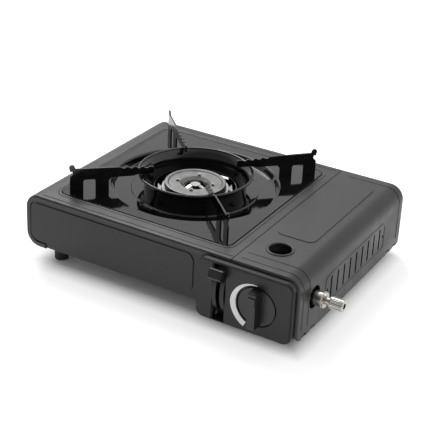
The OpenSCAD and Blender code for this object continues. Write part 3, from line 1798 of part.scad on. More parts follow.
// Outline of one pan support in distance from the burner and height.
module support_outline() {
  leg_in = arm_out - 2 * leg_w - window_w;
  under_z = arm_z - bar_h;
  over_ring = ring_z + air;
  top_in = arm_z - arm_fall;
  nub_s = arm_out - nub_r + small;
  slope_s = arm_out - 2 * nub_r - small;
  tooth_n = floor((leg_in - arm_in - tooth_pitch) / tooth_pitch);
  difference() {
    union() {
      polygon([[leg_in, pan_top], [arm_out, pan_top], [arm_out, arm_z - 3 * nub_r],
          [arm_out - nub_r, arm_z - 2 * nub_r], [nub_s, arm_z + nub_rise - nub_r],
          [slope_s, arm_z], [leg_in, arm_z - small], [arm_in + small, top_in],
          [arm_in, top_in - small], [arm_in, over_ring + 2 * small],
          [arm_in + 2 * small, over_ring], [ring_r + ring_t, over_ring],
          [ring_r + 4 * ring_t, under_z], [leg_in - nub_r, under_z],
          [leg_in, under_z - nub_r]]);
      translate([nub_s, arm_z + nub_rise - nub_r])
      circle(nub_r);
      translate([nub_s - nub_r, arm_z - nub_r])
      square([2 * nub_r - small, nub_rise]);
    }
    round_rect(leg_in + leg_w, pan_top - 2 * window_r, leg_in + leg_w + window_w,
        pan_top + window_h, window_r);
    for (i = [0:tooth_n - 1])
      translate([arm_in + tooth_pitch * (i + 1),
          top_in + (arm_fall - small) * tooth_pitch * (i + 1) / (leg_in - arm_in)
          + tooth_r - tooth_dip])
      circle(tooth_r);
  }
}

// One pan support, turned to its diagonal.
module pan_support(turn) {
  color("#2b2b2c")
  place()
  translate([burner_x, burner_y, 0])
  rotate([0, 0, turn])
  translate([0, arm_t / 2, 0])
  rotate([90, 0, 0])
  linear_extrude(arm_t)
  support_outline();
}

module pan_support_front() {
  pan_support(225);
}

module pan_support_right() {
  pan_support(315);
}

module pan_support_back() {
  pan_support(45);
}

module pan_support_left() {
  pan_support(135);
}

pad_t = 0.5;

// Gas knob: a round skirt with a tall grip bar and a raised pointer.
module knob() {
  front = -panel_out - grip_out + pad_t;
  draft = 1;
  color("#2a2b2c")
  place()
  translate([knob_x, 0, knob_z])
  difference() {
    union() {
      translate([0, -panel_out, 0])
      rotate([-90, 0, 0])
      cylinder(h = skirt_h, r = knob_r);
      intersection() {
        translate([0, 0, -knob_r])
        linear_extrude(2 * knob_r)
        polygon([[-grip_w / 2, -panel_out + cut], [-grip_w / 2 + draft, front],
            [grip_w / 2 - draft, front], [grip_w / 2, -panel_out + cut]]);
        translate([0, front, 0])
        rotate([-90, 0, 0])
        rotate_extrude()
        polygon([[0, 0], [knob_r - 3 * draft, 0],
            [knob_r - 1.5 * draft, draft],
            [knob_r - small, grip_out], [0, grip_out]]);
      }
      translate([-grip_w / 4, front - pad_t, knob_r / 3])
      cube([grip_w / 2, 2 * pad_t, knob_r / 2]);
    }
    translate([0, -panel_out - grip_out / 2, 0])
    rotate([-90, 0, 0])
    cylinder(h = panel_out + grip_out, r = spindle_r + spindle_gap);
  }
}

// Spindle that turns the valve.
module valve_spindle() {
  start = -panel_out - grip_out / 2;
  color("#c2a25a")
  place()
  translate([knob_x, start, knob_z])
  rotate([-90, 0, 0])
  cylinder(h = valve_y + spindle_in - small - start, r = spindle_r);
}

tail_x = body_w + stub_out;

// Seal washer between the stub and the hose tail.
module seal_washer() {
  color("#e4ddc4")
  place()
  translate([tail_x, inlet_y, inlet_z])
  rotate([0, 90, 0])
  difference() {
    cylinder(h = washer_t, r = washer_r);
    translate([0, 0, -cut])
    cylinder(h = washer_t + 2 * cut, r = shank_r + pin_gap);
  }
}

washer_t = 1.2;

// Hose tail: shank in the stub, neck and fluted end with a bore for the hose's fitting.
module hose_tail() {
  neck_x = tail_x + washer_t;
  tip_x = tail_tip;
  fluted_x = tip_x - tail_l;
  color("#c6bfae")
  place()
  translate([0, inlet_y, inlet_z])
  rotate([0, 90, 0])
  difference() {
    union() {
      translate([0, 0, tail_x - shank_l + small])
      cylinder(h = shank_l + washer_t - small + cut, r = shank_r);
      translate([0, 0, neck_x])
      cylinder(h = fluted_x - neck_x + cut, r = neck_r);
      translate([0, 0, neck_x])
      cylinder(h = small * 2, r = washer_r - small);
      translate([0, 0, fluted_x])
      rotate_extrude()
      polygon([[0, 0], [tail_r - small, 0], [tail_r, small],
          [tail_r, tail_l - small], [tail_r - small, tail_l],
          [0, tail_l]]);
    }
    translate([0, 0, tip_x - tail_l])
    cylinder(h = tail_l + cut, r = tail_bore);
    translate([0, 0, tail_x - shank_l])
    cylinder(h = shank_l + neck_l + tail_l, r = tail_bore / 2);
    for (i = [0:flute_n - 1])
      rotate([0, 0, 360 * i / flute_n])
      translate([tail_r + flute_r / 2, 0, fluted_x + 2 * small])
      cylinder(h = tail_l - 4 * small, r = flute_r);
  }
}

flute_r = 1;

main_housing();
front_plate();
back_plate();
burner_floor();
bay_floor();
bay_partition();
control_panel();
flame_scale();
feet();
foot_screws();
plate_screws();
hinge_pins();
burner_bracket();
burner_bowl();
burner_cap();
burner_star();
cap_rivets();
gas_jet();
gas_pipe();
valve_body();
diaphragm_cover();
cover_screws();
valve_bracket();
inlet_stub();
igniter();
ignition_lead();
electrode_ceramic();
electrode_pin();
electrode_bracket();
lever_bracket();
pivot_pin();
lid();
drip_pan();
wind_ring();
pan_support_front();
pan_support_right();
pan_support_back();
pan_support_left();
knob();
valve_spindle();
lever_plate();
lever_grip();
lever_spring();
cassette_pusher();
seal_washer();
hose_tail();
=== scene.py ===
"""Looks of a portable gas stove: stage, finishes and the pieces that are modelled by hand."""

import json
import math

import bpy
from bpy.props import FloatProperty, FloatVectorProperty, PointerProperty
from mathutils import Matrix, Vector

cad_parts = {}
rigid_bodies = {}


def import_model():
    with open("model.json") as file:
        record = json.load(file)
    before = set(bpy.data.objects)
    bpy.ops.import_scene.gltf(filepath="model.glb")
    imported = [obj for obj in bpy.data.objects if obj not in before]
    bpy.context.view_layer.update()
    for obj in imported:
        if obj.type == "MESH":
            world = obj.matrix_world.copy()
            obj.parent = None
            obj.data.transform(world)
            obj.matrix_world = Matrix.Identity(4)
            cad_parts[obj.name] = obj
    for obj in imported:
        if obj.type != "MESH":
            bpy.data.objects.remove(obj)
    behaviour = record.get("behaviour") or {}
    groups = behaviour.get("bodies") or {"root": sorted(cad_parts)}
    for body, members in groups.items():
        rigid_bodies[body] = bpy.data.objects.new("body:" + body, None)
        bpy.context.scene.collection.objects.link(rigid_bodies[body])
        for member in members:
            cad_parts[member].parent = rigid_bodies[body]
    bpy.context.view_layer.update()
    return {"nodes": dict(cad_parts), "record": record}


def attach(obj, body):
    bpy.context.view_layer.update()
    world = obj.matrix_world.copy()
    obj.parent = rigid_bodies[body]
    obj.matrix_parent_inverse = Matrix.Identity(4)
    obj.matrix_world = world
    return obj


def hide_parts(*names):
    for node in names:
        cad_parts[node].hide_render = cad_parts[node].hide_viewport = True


bl_info = {
    "name": "Portable gas stove",
    "version": (1, 0, 0),
    "blender": (4, 5, 0),
    "location": "View3D > Sidebar > Stove",
    "description": "Stage, finishes and hand-modelled pieces around the stove's fixed frame",
    "category": "Object",
}

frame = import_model()

MM = 0.001
# The frame's origin, and the knob's axis at the body's front, in the stove's own millimetres.
ORIGIN = Vector((186.5, 120.75, 0.0))
KNOB = Vector((297.0, 0.0, 45.5))
# Points of a CAD mesh nearer than this are one, and faces flatter than this are joined.
MERGE_MM = 0.002
FLAT_DEGREES = 0.4
# Sockets of a Mix node that mixes colours, which all have the same names.
MIX_FACTOR, MIX_FIRST, MIX_SECOND, MIX_RESULT = 0, 6, 7, 2


def spot(x, y, z):
    """A point given in the stove's own millimetres, in the frame's metres."""
    return (Vector((x, y, z)) - ORIGIN) * MM


def linear(hex_colour):
    """An sRGB hex colour as linear red, green, blue and full alpha."""
    parts = [int(hex_colour[i:i + 2], 16) / 255 for i in (1, 3, 5)]
    return tuple(p / 12.92 if p <= 0.04045 else ((p + 0.055) / 1.055) ** 2.4
                 for p in parts) + (1.0,)


def per_metre(millimetres):
    """Scale of a pattern whose features are that many millimetres apart."""
    return 1 / (millimetres * MM)


def add_node(owner, kind, settings=None, links=None):
    """Adds a node to a material or world, and sets or links its properties and sockets by name."""
    node = owner.node_tree.nodes.new(kind)
    for name, value in (settings or {}).items():
        if name in node.inputs:
            node.inputs[name].default_value = value
        else:
            setattr(node, name, value)
    for name, output in (links or {}).items():
        owner.node_tree.links.new(output, node.inputs[name])
    return node


def link(owner, output, node, socket):
    """Links an output to one of a node's sockets."""
    owner.node_tree.links.new(output, node.inputs[socket])


def maths(owner, operation, first, second=None):
    """One step of arithmetic on an output and a second output or number."""
    node = add_node(owner, "ShaderNodeMath", {"operation": operation})
    link(owner, first, node, 0)
    if isinstance(second, bpy.types.NodeSocket):
        link(owner, second, node, 1)
    elif second is not None:
        node.inputs[1].default_value = second
    return node.outputs["Value"]


def seen_rays(owner):
    """One for the rays of camera, gloss and glass, and zero for the rays of soft light."""
    rays = add_node(owner, "ShaderNodeLightPath").outputs
    seen = maths(owner, "MAXIMUM", rays["Is Camera Ray"], rays["Is Glossy Ray"])
    return maths(owner, "MAXIMUM", seen, rays["Is Transmission Ray"])


def start_material(name, colour, roughness, metallic=0.0, ior=None):
    """An empty node material with its shader and the object's own coordinates."""
    material = bpy.data.materials.new(name)
    material.use_nodes = True
    shader = material.node_tree.nodes["Principled BSDF"]
    shader.inputs["Base Color"].default_value = linear(colour)
    shader.inputs["Roughness"].default_value = roughness
    shader.inputs["Metallic"].default_value = metallic
    if ior:
        shader.inputs["IOR"].default_value = ior
    material.diffuse_color = linear(colour)
    place = add_node(material, "ShaderNodeTexCoord").outputs["Object"]
    return material, shader, place


def noise(material, place, size_mm, detail=2.0, stretch=None):
    """Noise with blots about that many millimetres across, drawn out along an axis if asked."""
    if stretch:
        place = add_node(material, "ShaderNodeMapping", {"Scale": stretch},
                         {"Vector": place}).outputs["Vector"]
    return add_node(material, "ShaderNodeTexNoise",
                    {"Scale": per_metre(size_mm), "Detail": detail},
                    {"Vector": place}).outputs["Fac"]


def spread(material, value, low, high, start=0.35, end=0.65):
    """Spreads the middle of a noise over a range of values."""
    return add_node(material, "ShaderNodeMapRange",
                    {"From Min": start, "From Max": end, "To Min": low, "To Max": high},
                    {"Value": value}).outputs["Result"]


def blend_colours(material, value, colour, other):
    """Goes from one colour to the other as the value rises."""
    mix = add_node(material, "ShaderNodeMix", {"data_type": "RGBA"})
    mix.inputs[MIX_FIRST].default_value = linear(colour)
    mix.inputs[MIX_SECOND].default_value = linear(other)
    link(material, value, mix, MIX_FACTOR)
    return mix.outputs[MIX_RESULT]


def relief(material, value, depth_mm, shader):
    """Turns a value into a relief of that many millimetres."""
    bump = add_node(material, "ShaderNodeBump", {"Distance": depth_mm * MM}, {"Height": value})
    link(material, bump.outputs["Normal"], shader, "Normal")


def coated(name, colour, other, rough, grain_mm, depth_mm, blot_mm, ior=1.5):
    """Paint, plastic or rubber: a grained skin with slight blots in its tone and gloss."""
    material, shader, place = start_material(name, colour, rough[0], ior=ior)
    blots = noise(material, place, blot_mm, detail=4.0)
    link(material, blend_colours(material, spread(material, blots, 0.0, 1.0), colour, other),
         shader, "Base Color")
    link(material, spread(material, blots, *rough), shader, "Roughness")
    relief(material, noise(material, place, grain_mm, detail=3.0), depth_mm, shader)
    return material


def bare_metal(name, colour, other, rough, grain_mm, depth_mm, blot_mm, stretch=None):
    """Bare or plated metal: blots in its tone, and gloss and relief drawn out along its grain."""
    material, shader, place = start_material(name, colour, rough[0], metallic=1.0)
    blots = noise(material, place, blot_mm, detail=4.0)
    link(material, blend_colours(material, spread(material, blots, 0.0, 1.0), colour, other),
         shader, "Base Color")
    lines = noise(material, place, grain_mm, detail=3.0, stretch=stretch)
    link(material, spread(material, lines, *rough), shader, "Roughness")
    relief(material, lines, depth_mm, shader)
    return material


def make_finishes():
    """One material for each slot of the record."""
    return {
        # Polyester powder coat on steel, satin with a fine orange-peel grain of about 0.6 mm,
        # drawn at 1.1 mm so that it shows: breaks every highlight into a soft glitter.
        "body_coat": coated("polyester_powder_coat_fine_texture", "#1c1d1f", "#232427",
                            rough=(0.36, 0.5), grain_mm=1.1, depth_mm=0.055, blot_mm=40),
        # Smoother satin coat of the front plate: broad even sheen.
        "front_coat": coated("satin_powder_coat_smooth", "#111214", "#151618",
                             rough=(0.34, 0.42), grain_mm=1.6, depth_mm=0.006, blot_mm=60,
                             ior=1.45),
        # Dip-coated inner floors: dull, a little uneven.
        "floor_coat": coated("dip_coated_steel_dull", "#303236", "#3a3c40",
                             rough=(0.5, 0.62), grain_mm=2.5, depth_mm=0.02, blot_mm=25),
        # Zinc-plated sheet as rolled: grey, with fine lines along the rolling direction.
        "zinc_steel": bare_metal("zinc_plated_sheet_rolled", "#85878a", "#939597",
                                 rough=(0.34, 0.48), grain_mm=0.7, depth_mm=0.004, blot_mm=14,
                                 stretch=(1.0, 12.0, 12.0)),
        # Moulded ABS with a spark-eroded grain: even dark grey, satin.
        "panel_plastic": coated("abs_moulded_spark_grain", "#101113", "#141517",
                                rough=(0.34, 0.42), grain_mm=0.9, depth_mm=0.012, blot_mm=50,
                                ior=1.43),
        # Pad-printed ink: matt, near white.
        "scale_print": coated("pad_printed_ink_matt", "#f6f7f6", "#ecedec",
                              rough=(0.45, 0.55), grain_mm=0.8, depth_mm=0.002, blot_mm=6),
        # Moulded nitrile rubber: matt black.
        "foot_rubber": coated("nitrile_rubber_moulded", "#141414", "#1b1b1b",
                              rough=(0.62, 0.75), grain_mm=1.0, depth_mm=0.02, blot_mm=8),
        # Zinc-plated screws and pins: bright with tiny turning marks.
        "screw_steel": bare_metal("zinc_plated_steel_turned", "#c3c5c7", "#adafb2",
                                  rough=(0.22, 0.36), grain_mm=0.4, depth_mm=0.003, blot_mm=3),
        # Die-cast aluminium as cast: light grey, slightly rough, dull skin.
        "cast_alloy": bare_metal("aluminium_die_cast_as_cast", "#a2a4a6", "#8b8d90",
                                 rough=(0.42, 0.58), grain_mm=0.9, depth_mm=0.02, blot_mm=7),
        # Pressed steel cap, heat-darkened: warm grey, half dull.
        "cap_steel": bare_metal("pressed_steel_heat_darkened", "#6d6d6c", "#7b7b7a",
                                rough=(0.4, 0.54), grain_mm=0.7, depth_mm=0.006, blot_mm=12),
        # Nickel-plated pressings: bright, mirror-like with faint waves.
        "bright_steel": bare_metal("nickel_plated_steel_bright", "#c8c8c5", "#b5b5b3",
                                   rough=(0.12, 0.22), grain_mm=1.2, depth_mm=0.004, blot_mm=5),
        # Turned brass: warm yellow, fine rings.
        "jet_brass": bare_metal("brass_turned", "#cfa75b", "#b98f47",
                                rough=(0.2, 0.34), grain_mm=0.4, depth_mm=0.003, blot_mm=4),
        # Drawn copper pipe, a little tarnished.
        "pipe_copper": bare_metal("copper_drawn_tarnished", "#c47a4e", "#9a5a3a",
                                  rough=(0.24, 0.4), grain_mm=0.6, depth_mm=0.004, blot_mm=8),
        # Nickel-plated brass fittings: warm silver with a satin turned skin.
        "nickel_brass": bare_metal("nickel_plated_brass_turned", "#bab8b3", "#acaaa5",
                                   rough=(0.2, 0.23), grain_mm=0.5, depth_mm=0.0001, blot_mm=9),
        # Moulded phenolic of the igniter: dark red-brown, half gloss.
        "igniter_plastic": coated("phenolic_moulded", "#4a1d17", "#3a1612",
                                  rough=(0.3, 0.4), grain_mm=0.9, depth_mm=0.006, blot_mm=6),
        # Silicone sleeve: pale, soft sheen.
        "lead_sleeve": coated("silicone_sleeve_extruded", "#b9b3a6", "#a8a295",
                              rough=(0.4, 0.5), grain_mm=0.8, depth_mm=0.006, blot_mm=9),
        # Glazed steatite ceramic: off-white with a glossy glaze.
        "white_ceramic": coated("steatite_ceramic_glazed", "#efebdf", "#e2dccb",
                                rough=(0.12, 0.2), grain_mm=1.4, depth_mm=0.004, blot_mm=6),
        # Vitreous enamel on steel: deep black glass, gently wavy, almost a mirror.
        "black_enamel": coated("vitreous_enamel_gloss", "#060607", "#0a0a0b",
                               rough=(0.05, 0.09), grain_mm=16, depth_mm=0.05, blot_mm=30,
                               ior=1.54),
        # Vitreous enamel on the wind ring: black glass with a slightly softer skin than the pan's.
        "ring_coat": coated("vitreous_enamel_gloss_ring", "#070708", "#0b0b0c",
                            rough=(0.08, 0.14), grain_mm=14, depth_mm=0.05, blot_mm=24, ior=1.54),
        # Vitreous enamel on the supports: black, a little duller than the pan.
        "support_enamel": coated("vitreous_enamel_half_gloss", "#080809", "#0d0d0e",
                                 rough=(0.12, 0.2), grain_mm=9, depth_mm=0.03, blot_mm=16,
                                 ior=1.54),
        # Moulded ABS of knob and grip: satin black, very fine grain.
        "knob_plastic": coated("abs_moulded_satin", "#131415", "#18191a",
                               rough=(0.3, 0.4), grain_mm=0.8, depth_mm=0.008, blot_mm=20),
        # Moulded nitrile sealing washer: cream.
        "seal_cream": coated("nitrile_seal_moulded", "#e0d7bd", "#d2c7a9",
                             rough=(0.5, 0.6), grain_mm=0.8, depth_mm=0.008, blot_mm=4),
    }


def clear_selection():
    """Leaves edit mode and deselects everything, as an operator acts on all that is selected."""
    if bpy.context.object and bpy.context.object.mode != "OBJECT":
        bpy.ops.object.mode_set(mode="OBJECT")
    bpy.ops.object.select_all(action="DESELECT")


def choose(piece):
    """Makes one object the only selected and active one."""
    clear_selection()
    piece.hide_set(False)
    piece.select_set(True)
    bpy.context.view_layer.objects.active = piece


def settle(piece, name, body, slot, nodes=()):
    """Puts a finished piece at the origin, names it, dresses it and lets it ride on its body."""
    choose(piece)
    bpy.ops.object.transform_apply(location=True, rotation=True, scale=True)
    piece.name = name
    piece.data.name = name
    piece.data.materials.clear()
    piece.data.materials.append(bpy.data.materials[bpy.context.scene["finish_" + slot]])
    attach(piece, body)
    if nodes:
        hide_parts(*nodes)


def smooth(piece, degrees=32.0):
    """Smooth shading that keeps edges sharper than the angle and flat faces flat."""
    choose(piece)
    bpy.ops.object.shade_smooth_by_angle(angle=math.radians(degrees))
    normals = piece.modifiers.new("flat faces flat", "WEIGHTED_NORMAL")
    normals.mode = "FACE_AREA"
    normals.keep_sharp = True
    bpy.ops.object.modifier_apply(modifier=normals.name)


def add_bevel(piece, width_mm, segments=2, degrees=34.0):
    """Rounds every edge that is sharper than the angle, and applies it."""
    choose(piece)
    bevel = piece.modifiers.new("rounded edges", "BEVEL")
    bevel.width = width_mm * MM
    bevel.segments = segments
    bevel.limit_method = "ANGLE"
    bevel.angle_limit = math.radians(degrees)
    bpy.ops.object.modifier_apply(modifier=bevel.name)


def copy_node(node):
    """A merged copy of a CAD node with its flat faces joined, ready to be worked on."""
    choose(frame["nodes"][node])
    bpy.ops.object.duplicate()
    piece = bpy.context.object
    bpy.ops.object.parent_clear(type="CLEAR_KEEP_TRANSFORM")
    for key in [k for k in piece.keys() if k.startswith("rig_")]:
        del piece[key]
    bpy.ops.object.mode_set(mode="EDIT")
    bpy.ops.mesh.select_all(action="SELECT")
    bpy.ops.mesh.remove_doubles(threshold=MERGE_MM * MM)
    bpy.ops.mesh.dissolve_limited(angle_limit=math.radians(FLAT_DEGREES))
    bpy.ops.object.mode_set(mode="OBJECT")
    return piece


def rounded_copy(node, name, body, slot, width_mm, segments=2, degrees=34.0, smooth_below=32.0):
    """A CAD node's own shape with its pressed or moulded edges rounded."""
    piece = copy_node(node)
    add_bevel(piece, width_mm, segments, degrees)
    smooth(piece, smooth_below)
    settle(piece, name, body, slot, [node])


class StageSettings(bpy.types.PropertyGroup):
    """Where the photograph was taken from, and the plain studio."""
    azimuth: FloatProperty(
        name="Azimuth", default=29.6015,
        description="Turn of the view from the front to the right, in degrees")
    elevation: FloatProperty(
        name="Elevation", default=25.2472,
        description="Height of the view above the table, in degrees")
    roll: FloatProperty(
        name="Roll", default=2.6372, description="Tilt of the picture, in degrees")
    distance: FloatProperty(
        name="Distance", default=1.4553741, unit="LENGTH",
        description="From the aim to the camera")
    aim: FloatVectorProperty(
        name="Aim", default=(108.3063, 229.1841, 45.0), size=3,
        description="Point that the camera looks at, in the stove's millimetres")
    focal_length: FloatProperty(
        name="Focal length", default=99.618, description="In millimetres on the sensor")
    sensor_width: FloatProperty(
        name="Sensor width", default=36.0, description="In millimetres")
    shift: FloatVectorProperty(
        name="Shift", default=(-0.00015, -0.0876), size=2,
        description="Shift of the picture in picture widths")
    backdrop_colour: FloatVectorProperty(
        name="Backdrop", default=(0.93, 0.93, 0.93), subtype="COLOR", size=3,
        description="Colour of the floor")
    backdrop_rough: FloatProperty(
        name="Backdrop roughness", default=0.9, description="Roughness of the floor's paper")
    floor_size: FloatProperty(
        name="Floor size", default=14.0, unit="LENGTH", description="Width of the floor")
    floor_glow: FloatProperty(
        name="Floor white", default=0.5,
        description="White that the open floor shows to camera and gloss")
    # The shade settings place a painted shade on the floor: the floor's white is taken away under
    # the stove and in a soft band round the case's edge, which darkens the floor and its contact
    # shadow there.
    shade_shift: FloatVectorProperty(
        name="Shade shift", default=(0.0165, -0.01025, 0.0), size=3,
        description="From the case's middle to the origin, in metres")
    shade_half: FloatVectorProperty(
        name="Shade size", default=(0.168, 0.129), size=2,
        description="Half width and half depth of the dark floor, in metres")
    shade_soft: FloatProperty(
        name="Shade softness", default=0.014, unit="LENGTH",
        description="Half width of the dark floor's soft edge")
    world_strength: FloatProperty(
        name="Room light", default=0.62, description="Strength of the even light of the room")
    front_shade: FloatProperty(
        name="Front shade", default=0.3, description="Share of white that gloss sees in front")
    front_start: FloatProperty(
        name="Front start", default=-0.5,
        description="Depth of a direction from which the front shade is full")
    key_power: FloatProperty(
        name="Key lamp", default=26.0, description="Power of the large soft lamp, in watts")
    key_size: FloatProperty(
        name="Key size", default=1.3, unit="LENGTH", description="Width of the soft lamp")
    key_place: FloatVectorProperty(
        name="Key place", default=(-1.1, 0.9, 1.7), size=3,
        description="Where the soft lamp hangs, in metres")
    key_aim: FloatVectorProperty(
        name="Key aim", default=(0.0, 0.0, 0.03), size=3,
        description="Where the soft lamp points, in metres")


class STOVE_OT_stage(bpy.types.Operator):
    """Pale floor, plain soft light and the camera at the photograph's angle"""
    bl_idname = "stove.stage"
    bl_label = "Stage"

    def execute(self, context):
        settings = context.scene.stove_stage
        self.make_world(context, settings)
        self.make_floor(settings)
        self.make_lamp(context, settings)
        self.make_camera(context, settings)
        context.scene.view_settings.view_transform = "Standard"
        return {"FINISHED"}

    def make_world(self, context, settings):
        """Room that the camera sees as white, and gloss as white with a darker front."""
        world = bpy.data.worlds.new("plain_room")
        world.use_nodes = True
        context.scene.world = world
        background = world.node_tree.nodes["Background"]
        background.inputs["Color"].default_value = (1.0, 1.0, 1.0, 1.0)
        way = add_node(world, "ShaderNodeTexCoord").outputs["Generated"]
        depth = add_node(world, "ShaderNodeSeparateXYZ", links={"Vector": way}).outputs["Y"]
        shade = spread(world, depth, settings.front_shade, 1.0,
                       start=settings.front_start, end=0.0)
        camera = add_node(world, "ShaderNodeLightPath").outputs["Is Camera Ray"]
        strength = add_node(world, "ShaderNodeMapRange", {"To Min": settings.world_strength},
                            {"Value": seen_rays(world),
                             "To Max": maths(world, "MAXIMUM", shade, camera)})
        link(world, strength.outputs["Result"], background, "Strength")

    def make_floor(self, settings):
        """Wide floor at the level of the table."""
        clear_selection()
        bpy.ops.mesh.primitive_plane_add(size=settings.floor_size, location=(0.0, 0.0, 0.0))
        floor = bpy.context.object
        floor.name = "floor"
        floor.data.materials.append(self.make_paper(settings))

    def make_paper(self, settings):
        """Matt white paper that keeps a soft shadow and is seen as white in the open, with a
        painted shade under and just round the stove.
        """
        material = bpy.data.materials.new("matt_paper_floor")
        material.use_nodes = True
        shader = material.node_tree.nodes["Principled BSDF"]
        shader.inputs["Base Color"].default_value = (*settings.backdrop_colour, 1.0)
        shader.inputs["Roughness"].default_value = settings.backdrop_rough
        shader.inputs["Specular IOR Level"].default_value = 0.0
        shader.inputs["Emission Color"].default_value = (1.0, 1.0, 1.0, 1.0)
        glow = maths(material, "MULTIPLY", seen_rays(material), self.open_floor(material, settings))
        link(material, glow, shader, "Emission Strength")
        return material

    def open_floor(self, material, settings):
        """White of the open floor, which fades to nothing under and just round the stove: a painted
        shade that darkens the floor there and deepens the stove's contact shadow.
        """
        place = add_node(material, "ShaderNodeTexCoord").outputs["Object"]
        middle = add_node(material, "ShaderNodeMapping", {"Location": settings.shade_shift},
                          {"Vector": place}).outputs["Vector"]
        parts = add_node(material, "ShaderNodeSeparateXYZ", links={"Vector": middle}).outputs
        past = [maths(material, "SUBTRACT", maths(material, "ABSOLUTE", parts[axis]), half)
                for axis, half in zip("XY", settings.shade_half)]
        return spread(material, maths(material, "MAXIMUM", *past), 0.0, settings.floor_glow,
                      start=-settings.shade_soft, end=settings.shade_soft)

    def make_lamp(self, context, settings):
        """One large soft lamp high on the left, behind the stove."""
        lamp = bpy.data.lights.new("key_lamp", "AREA")
        lamp.shape = "DISK"
        lamp.size = settings.key_size
        lamp.energy = settings.key_power
        holder = bpy.data.objects.new("key_lamp", lamp)
        context.scene.collection.objects.link(holder)
        place = Vector(settings.key_place)
        holder.location = place
        way = Vector(settings.key_aim) - place
        holder.rotation_euler = way.to_track_quat("-Z", "Y").to_euler()

    def make_camera(self, context, settings):
        """The camera, solved from the stove's square corners."""
        azimuth, elevation, roll = (math.radians(a) for a in
                                    (settings.azimuth, settings.elevation, settings.roll))
        back = Vector((math.sin(azimuth) * math.cos(elevation),
                       -math.cos(azimuth) * math.cos(elevation), math.sin(elevation)))
        right = Vector((math.cos(azimuth), math.sin(azimuth), 0.0))
        up = back.cross(right)
        turned_right = right * math.cos(roll) + up * math.sin(roll)
        turned_up = up * math.cos(roll) - right * math.sin(roll)
        place = spot(*settings.aim) + back * settings.distance
        camera = bpy.data.cameras.new("camera")
        camera.sensor_width = settings.sensor_width
        camera.lens = settings.focal_length
        camera.shift_x, camera.shift_y = settings.shift
        holder = bpy.data.objects.new("camera", camera)
        context.scene.collection.objects.link(holder)
        turn = Matrix((turned_right, turned_up, back)).transposed().to_4x4()
        holder.matrix_world = Matrix.Translation(place) @ turn
        context.scene.camera = holder


class STOVE_OT_finishes(bpy.types.Operator):
    """Material of every slot, given to every CAD node by its slot"""
    bl_idname = "stove.finishes"
    bl_label = "Finishes"

    def execute(self, context):
        finishes = make_finishes()
        for slot, material in finishes.items():
            context.scene["finish_" + slot] = material.name
        for part in frame["record"]["subparts"]:
            node = frame["nodes"][part["node"]]
            node.data.materials.clear()
            node.data.materials.append(finishes[part["material_slot"]])
        return {"FINISHED"}


class STOVE_OT_burner(bpy.types.Operator):
    """Burner cap and spoked insert with rounded pressings"""
    bl_idname = "stove.burner"
    bl_label = "Burner"

    def execute(self, context):
        rounded_copy("burner_cap", "burner_cap_pressed", "case", "cap_steel", width_mm=0.35)
        rounded_copy("burner_star", "burner_star_pressed", "case", "bright_steel", width_mm=0.25)
        return {"FINISHED"}


class STOVE_OT_pan(bpy.types.Operator):
    """Enamelled pan, wind ring and the four supports"""
    bl_idname = "stove.pan"
    bl_label = "Pan, ring and supports"

    def execute(self, context):
        rounded_copy("drip_pan", "drip_pan_enamelled", "pan_set", "black_enamel",
                     width_mm=0.5, segments=3, degrees=20.0)
        rounded_copy("wind_ring", "wind_ring_flared", "pan_set", "ring_coat",
                     width_mm=0.5, segments=3, degrees=24.0)
        for side in ("front", "right", "back", "left"):
            rounded_copy("pan_support_" + side, "support_" + side, "pan_set", "support_enamel",
                         width_mm=0.45)
        return {"FINISHED"}


class ControlSettings(bpy.types.PropertyGroup):
    """The knob's moulding, its line and the track's back edge, in millimetres."""
    skirt_from: FloatProperty(
        name="Skirt from", default=20.9, description="Radius beyond which the skirt is drawn in")
    skirt_share: FloatProperty(
        name="Skirt share", default=0.968, description="Share of its radius that the skirt keeps")
    skirt_y: FloatProperty(
        name="Skirt face", default=-8.1, description="Face of the skirt before the body")
    knob_round: FloatProperty(
        name="Knob rounding", default=0.32, description="Radius of the knob's moulded edges")
    bar_face: FloatProperty(
        name="Bar face", default=-19.9, description="Where the bar's face lies before the body")
    bar_slack: FloatProperty(
        name="Bar slack", default=0.15, description="How near to its face a point of the bar lies")
    bar_sink: FloatProperty(
        name="Bar sink", default=0.7, description="How far the bar's face lies behind its pad")
    pad_half: FloatProperty(
        name="Pad half width", default=2.9, description="How far beside the axis its points lie")
    pad_depth: FloatProperty(
        name="Pad depth", default=0.2, description="How far behind the bar's face its points lie")
    pad_low: FloatProperty(
        name="Pad low", default=7.0, description="Lowest height above the axis of its points")
    pad_high: FloatProperty(
        name="Pad high", default=18.4, description="Greatest height above the axis of its points")
    pad_wide: FloatProperty(
        name="Pad width share", default=1.42, description="Widening of the raised pad")
    pad_tall: FloatProperty(
        name="Pad height share", default=0.86, description="Drawing in of the raised pad's height")
    line_out: FloatProperty(
        name="Line place", default=8.6, description="From the knob's axis to the line")
    line_bow: FloatProperty(
        name="Line bow", default=62.0, description="Radius of the line's bow")
    line_r: FloatProperty(
        name="Line roundness", default=0.5, description="Radius of the line's section")
    line_turn: FloatProperty(
        name="Line half angle", default=15.0,
        description="Half of the bow that is kept, in degrees")
    back_low: FloatVectorProperty(
        name="Back edge low", default=(243.0, 5.1, 11.0), size=3,
        description="Lowest corner of the track's back edge, in the stove's millimetres")
    back_high: FloatVectorProperty(
        name="Back edge high", default=(260.6, 6.3, 25.0), size=3,
        description="Highest corner of the track's back edge, in the stove's millimetres")
    back_round: FloatProperty(
        name="Back edge rounding", default=0.3, description="Radius of its edges")


